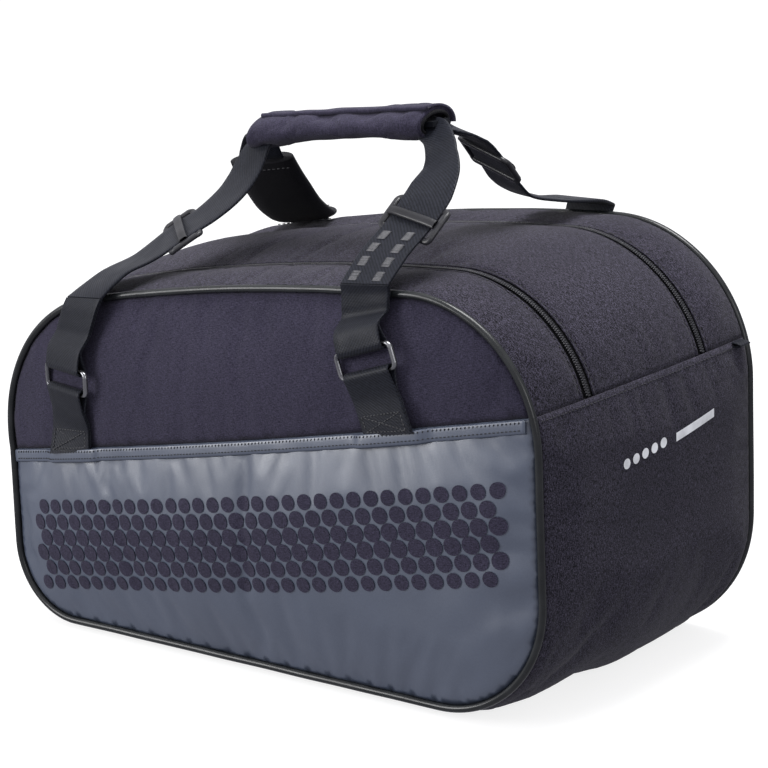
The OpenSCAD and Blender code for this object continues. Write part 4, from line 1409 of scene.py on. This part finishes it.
def printed(name, shapes, tree, to_space, way, material, lift):
    """Flat shapes in a plane, thrown along one direction on to a surface as a thin print."""
    verts, faces = [], []
    for shape in shapes:
        base = len(verts)
        middle = (sum(p[0] for p in shape) / len(shape), sum(p[1] for p in shape) / len(shape))
        inner = [(middle[0] + 0.5 * (p[0] - middle[0]), middle[1] + 0.5 * (p[1] - middle[1])) for p in shape]
        flat = list(shape) + inner + [middle]
        for p in flat:
            start = to_space(p) - way * 80 * MM
            at = tree.ray_cast(start, way)[0] or tree.find_nearest(to_space(p))[0]
            verts.append(at - way * lift)
        c = len(shape)
        for k in range(c):
            h = (k + 1) % c
            faces.append((base + k, base + h, base + c + h, base + c + k))
            faces.append((base + c + k, base + c + h, base + 2 * c))
    uvs = [(v.x + v.y, v.z) for v in verts]
    return build(name, verts, faces, uvs, material)


DOT_PITCH, DOT_ROWS, DOT_COLS, DOT_R = 15.0 * MM, 6, 31, 7.3 * MM
DOT_FROM, DOT_TO = -226 * MM, 236 * MM
BAND_FOOT, BAND_SLOPE = (-0.234, 69 * MM), math.tan(math.radians(10.2))


def front_graphic(tree, material):
    """A plain field of round dots along the slanting band, largest in its middle rows."""
    shapes = []
    for row in range(DOT_ROWS):
        off = row - (DOT_ROWS - 1) / 2
        for col in range(DOT_COLS):
            x = DOT_FROM + (col + 0.5 * (row % 2)) * DOT_PITCH
            if x <= DOT_TO:
                z = BAND_FOOT[1] + (x - BAND_FOOT[0]) * BAND_SLOPE + off * DOT_PITCH * 0.87
                shapes.append(disc((x, z), DOT_R - 0.5 * MM * abs(off), 18))
    return printed("front_dot_print", shapes, tree, lambda p: Vector((p[0], skin_y(p[0], p[1], 0), p[1])),
                   Vector((0, 1, 0)), material, 0.7 * MM)


def side_mark(tree, material):
    """A plain pale mark on the high end: a row of small dots and a long bar."""
    shapes = []
    x = BAG_W / 2 + grow(0)
    for k in range(5):
        shapes.append(disc((-46 * MM + 11 * MM * k, 187 * MM + 1.4 * MM * k), 4.0 * MM))
    bar = [(14, 189.6), (66, 196.4), (66, 203.0), (14, 196.2)]
    dense = []
    for a, b in zip(bar, bar[1:] + bar[:1]):
        for k in range(8):
            dense.append(((a[0] + (b[0] - a[0]) * k / 8) * MM, (a[1] + (b[1] - a[1]) * k / 8) * MM))
    shapes.append(dense)
    return printed("side_mark_print", shapes, tree, lambda p: Vector((x, p[0], p[1])),
                   Vector((-1, 0, 0)), material, 0.4 * MM)


def end_tabs(material):
    """Small folded loops sewn into the end seams near the back."""
    for name, sign in (("high_end_tab", 1), ("low_end_tab", -1)):
        lo, hi = (Vector(c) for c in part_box(name))
        root_x = lo.x - 1.5 * MM if sign > 0 else hi.x + 1.5 * MM
        tip_x = hi.x if sign > 0 else lo.x
        z0, y0 = (lo.z + hi.z) / 2, (lo.y + hi.y) / 2
        mid_x = (root_x + tip_x) / 2
        fold = ((root_x, 1.2), (mid_x, 1.6), (tip_x, 0), (mid_x, -1.4), (root_x, -1.0))
        route = [((x, y0, z0 + up * MM), (0, 1, 0)) for x, up in fold]
        pts, widths, _ = smooth_route(route, 1 * MM)
        loop = ribbon(f"{name}_loop", frames(pts, widths), material, width=14 * MM, thick=1.1 * MM)
        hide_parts(name)
        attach(loop, "bag")


# ---------------------------------------------------------------- CAD nodes that stay
def finish_cad_nodes(materials):
    """Gives the CAD pieces that show as they are their materials."""
    for name, material in materials.items():
        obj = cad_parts[name]
        obj.data.materials.clear()
        obj.data.materials.append(material)


# ---------------------------------------------------------------- the bag
def palette():
    """Every material, made in one fixed order."""
    fine = 0.9 * MM
    return {
        "heather": cloth_material("heather_fabric", (0.002, 0.0018, 0.0035), (0.066, 0.060, 0.090),
                                  speckle=fine, contrast=(0.44, 0.64), sheen=0.06),
        "charcoal": cloth_material("charcoal_fabric", (0.010, 0.009, 0.017), (0.046, 0.041, 0.072),
                                   speckle=fine, contrast=(0.38, 0.66), sheen=0.05),
        "slate": tarpaulin_material(),
        "web": webbing_material(),
        "cord": gloss_material("piping", (0.008, 0.009, 0.010), 0.26, 500.0, 0.01 * MM, specular=0.35),
        "tape": cloth_material("zip_tape", (0.004, 0.004, 0.005), (0.014, 0.014, 0.017), speckle=fine,
                               sheen=0.02),
        "coil": gloss_material("zip_coil", (0.016, 0.016, 0.019), 0.24),
        "plastic": gloss_material("hardware_plastic", (0.007, 0.007, 0.009), 0.28, 800.0, 0.03 * MM,
                                  worn=(0.05, 0.05, 0.055)),
        "metal": gloss_material("hardware_metal", (0.07, 0.07, 0.078), 0.24, 400.0, 0.02 * MM, 0.9,
                                worn=(0.6, 0.6, 0.62)),
        "binding": cloth_material("binding", (0.003, 0.003, 0.004), (0.012, 0.0115, 0.015), speckle=fine,
                                  roughness=0.6, sheen=0.04),
        "lining": cloth_material("lining", (0.09, 0.095, 0.10), (0.17, 0.175, 0.185), speckle=1.2 * MM),
        "mesh": cloth_material("mesh", (0.006, 0.006, 0.006), (0.04, 0.04, 0.042), weave=2.4 * MM,
                               speckle=2.4 * MM, depth=0.3 * MM),
        "board": gloss_material("board", (0.012, 0.012, 0.013), 0.5),
        "dark_thread": thread_material("dark_thread", (0.012, 0.012, 0.015)),
        "grey_thread": thread_material("grey_thread", (0.05, 0.05, 0.055)),
        "pale_thread": thread_material("pale_thread", (0.2, 0.2, 0.21)),
        "patch_thread": thread_material("patch_thread", (0.13, 0.13, 0.14)),
        "pale_print": gloss_material("pale_print", (0.55, 0.56, 0.58), 0.45),
    }


def body(looks):
    """The bag's cloth, its cords and what is sewn or printed on it."""
    pieces = gusset(looks["heather"])
    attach(pieces["mid_gusset"], "bag")
    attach(pieces["lower_gusset"], "bag")
    panels = {}
    for side, look, slot in (("front", "slate", "slate_tarpaulin"), ("rear", "heather", "heather_fabric")):
        lower = panel_piece(f"{side}_lower_panel_cloth", "lower", side, looks[look])
        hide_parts(f"{side}_lower_panel")
        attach(lower, "bag")
        upper = panel_piece(f"{side}_upper_panel_cloth", "upper", side, looks["charcoal"])
        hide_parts(f"{side}_upper_panel")
        panels[f"{side}_lower"], panels[f"{side}_upper"] = lower, upper
    seam_stitches(pieces, looks["dark_thread"])
    hem_band(looks["slate"], looks["dark_thread"])
    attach(front_graphic(surface_of(panels["front_lower"]), looks["charcoal"]), "bag")
    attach(side_mark(surface_of(pieces["lower_gusset"]), looks["pale_print"]), "bag")
    for side in ("front", "rear"):
        follow_flap(pieces[f"{side}_strip"])
        follow_flap(panels[f"{side}_upper"])
        follow_flap(piping(side, "upper", looks["cord"]))
        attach(piping(side, "lower", looks["cord"]), "bag")


def main():
    looks = palette()
    add_camera()
    add_stage()
    body(looks)
    zips(looks["tape"], looks["coil"])
    straps(looks["web"], looks["metal"], looks["grey_thread"], looks["patch_thread"], looks["binding"])
    for name in GLIDE_AT:
        adjuster(name, looks["plastic"])
    grip(looks["charcoal"], looks["binding"], looks["pale_thread"])
    end_tabs(looks["web"])
    finish_cad_nodes({"front_zip_slider": looks["metal"], "rear_zip_slider": looks["metal"],
                      "front_zip_pull": looks["plastic"], "rear_zip_pull": looks["plastic"],
                      "divider": looks["lining"], "mesh_pocket": looks["mesh"],
                      "base_board": looks["board"], "grip_core": looks["web"]})


main()
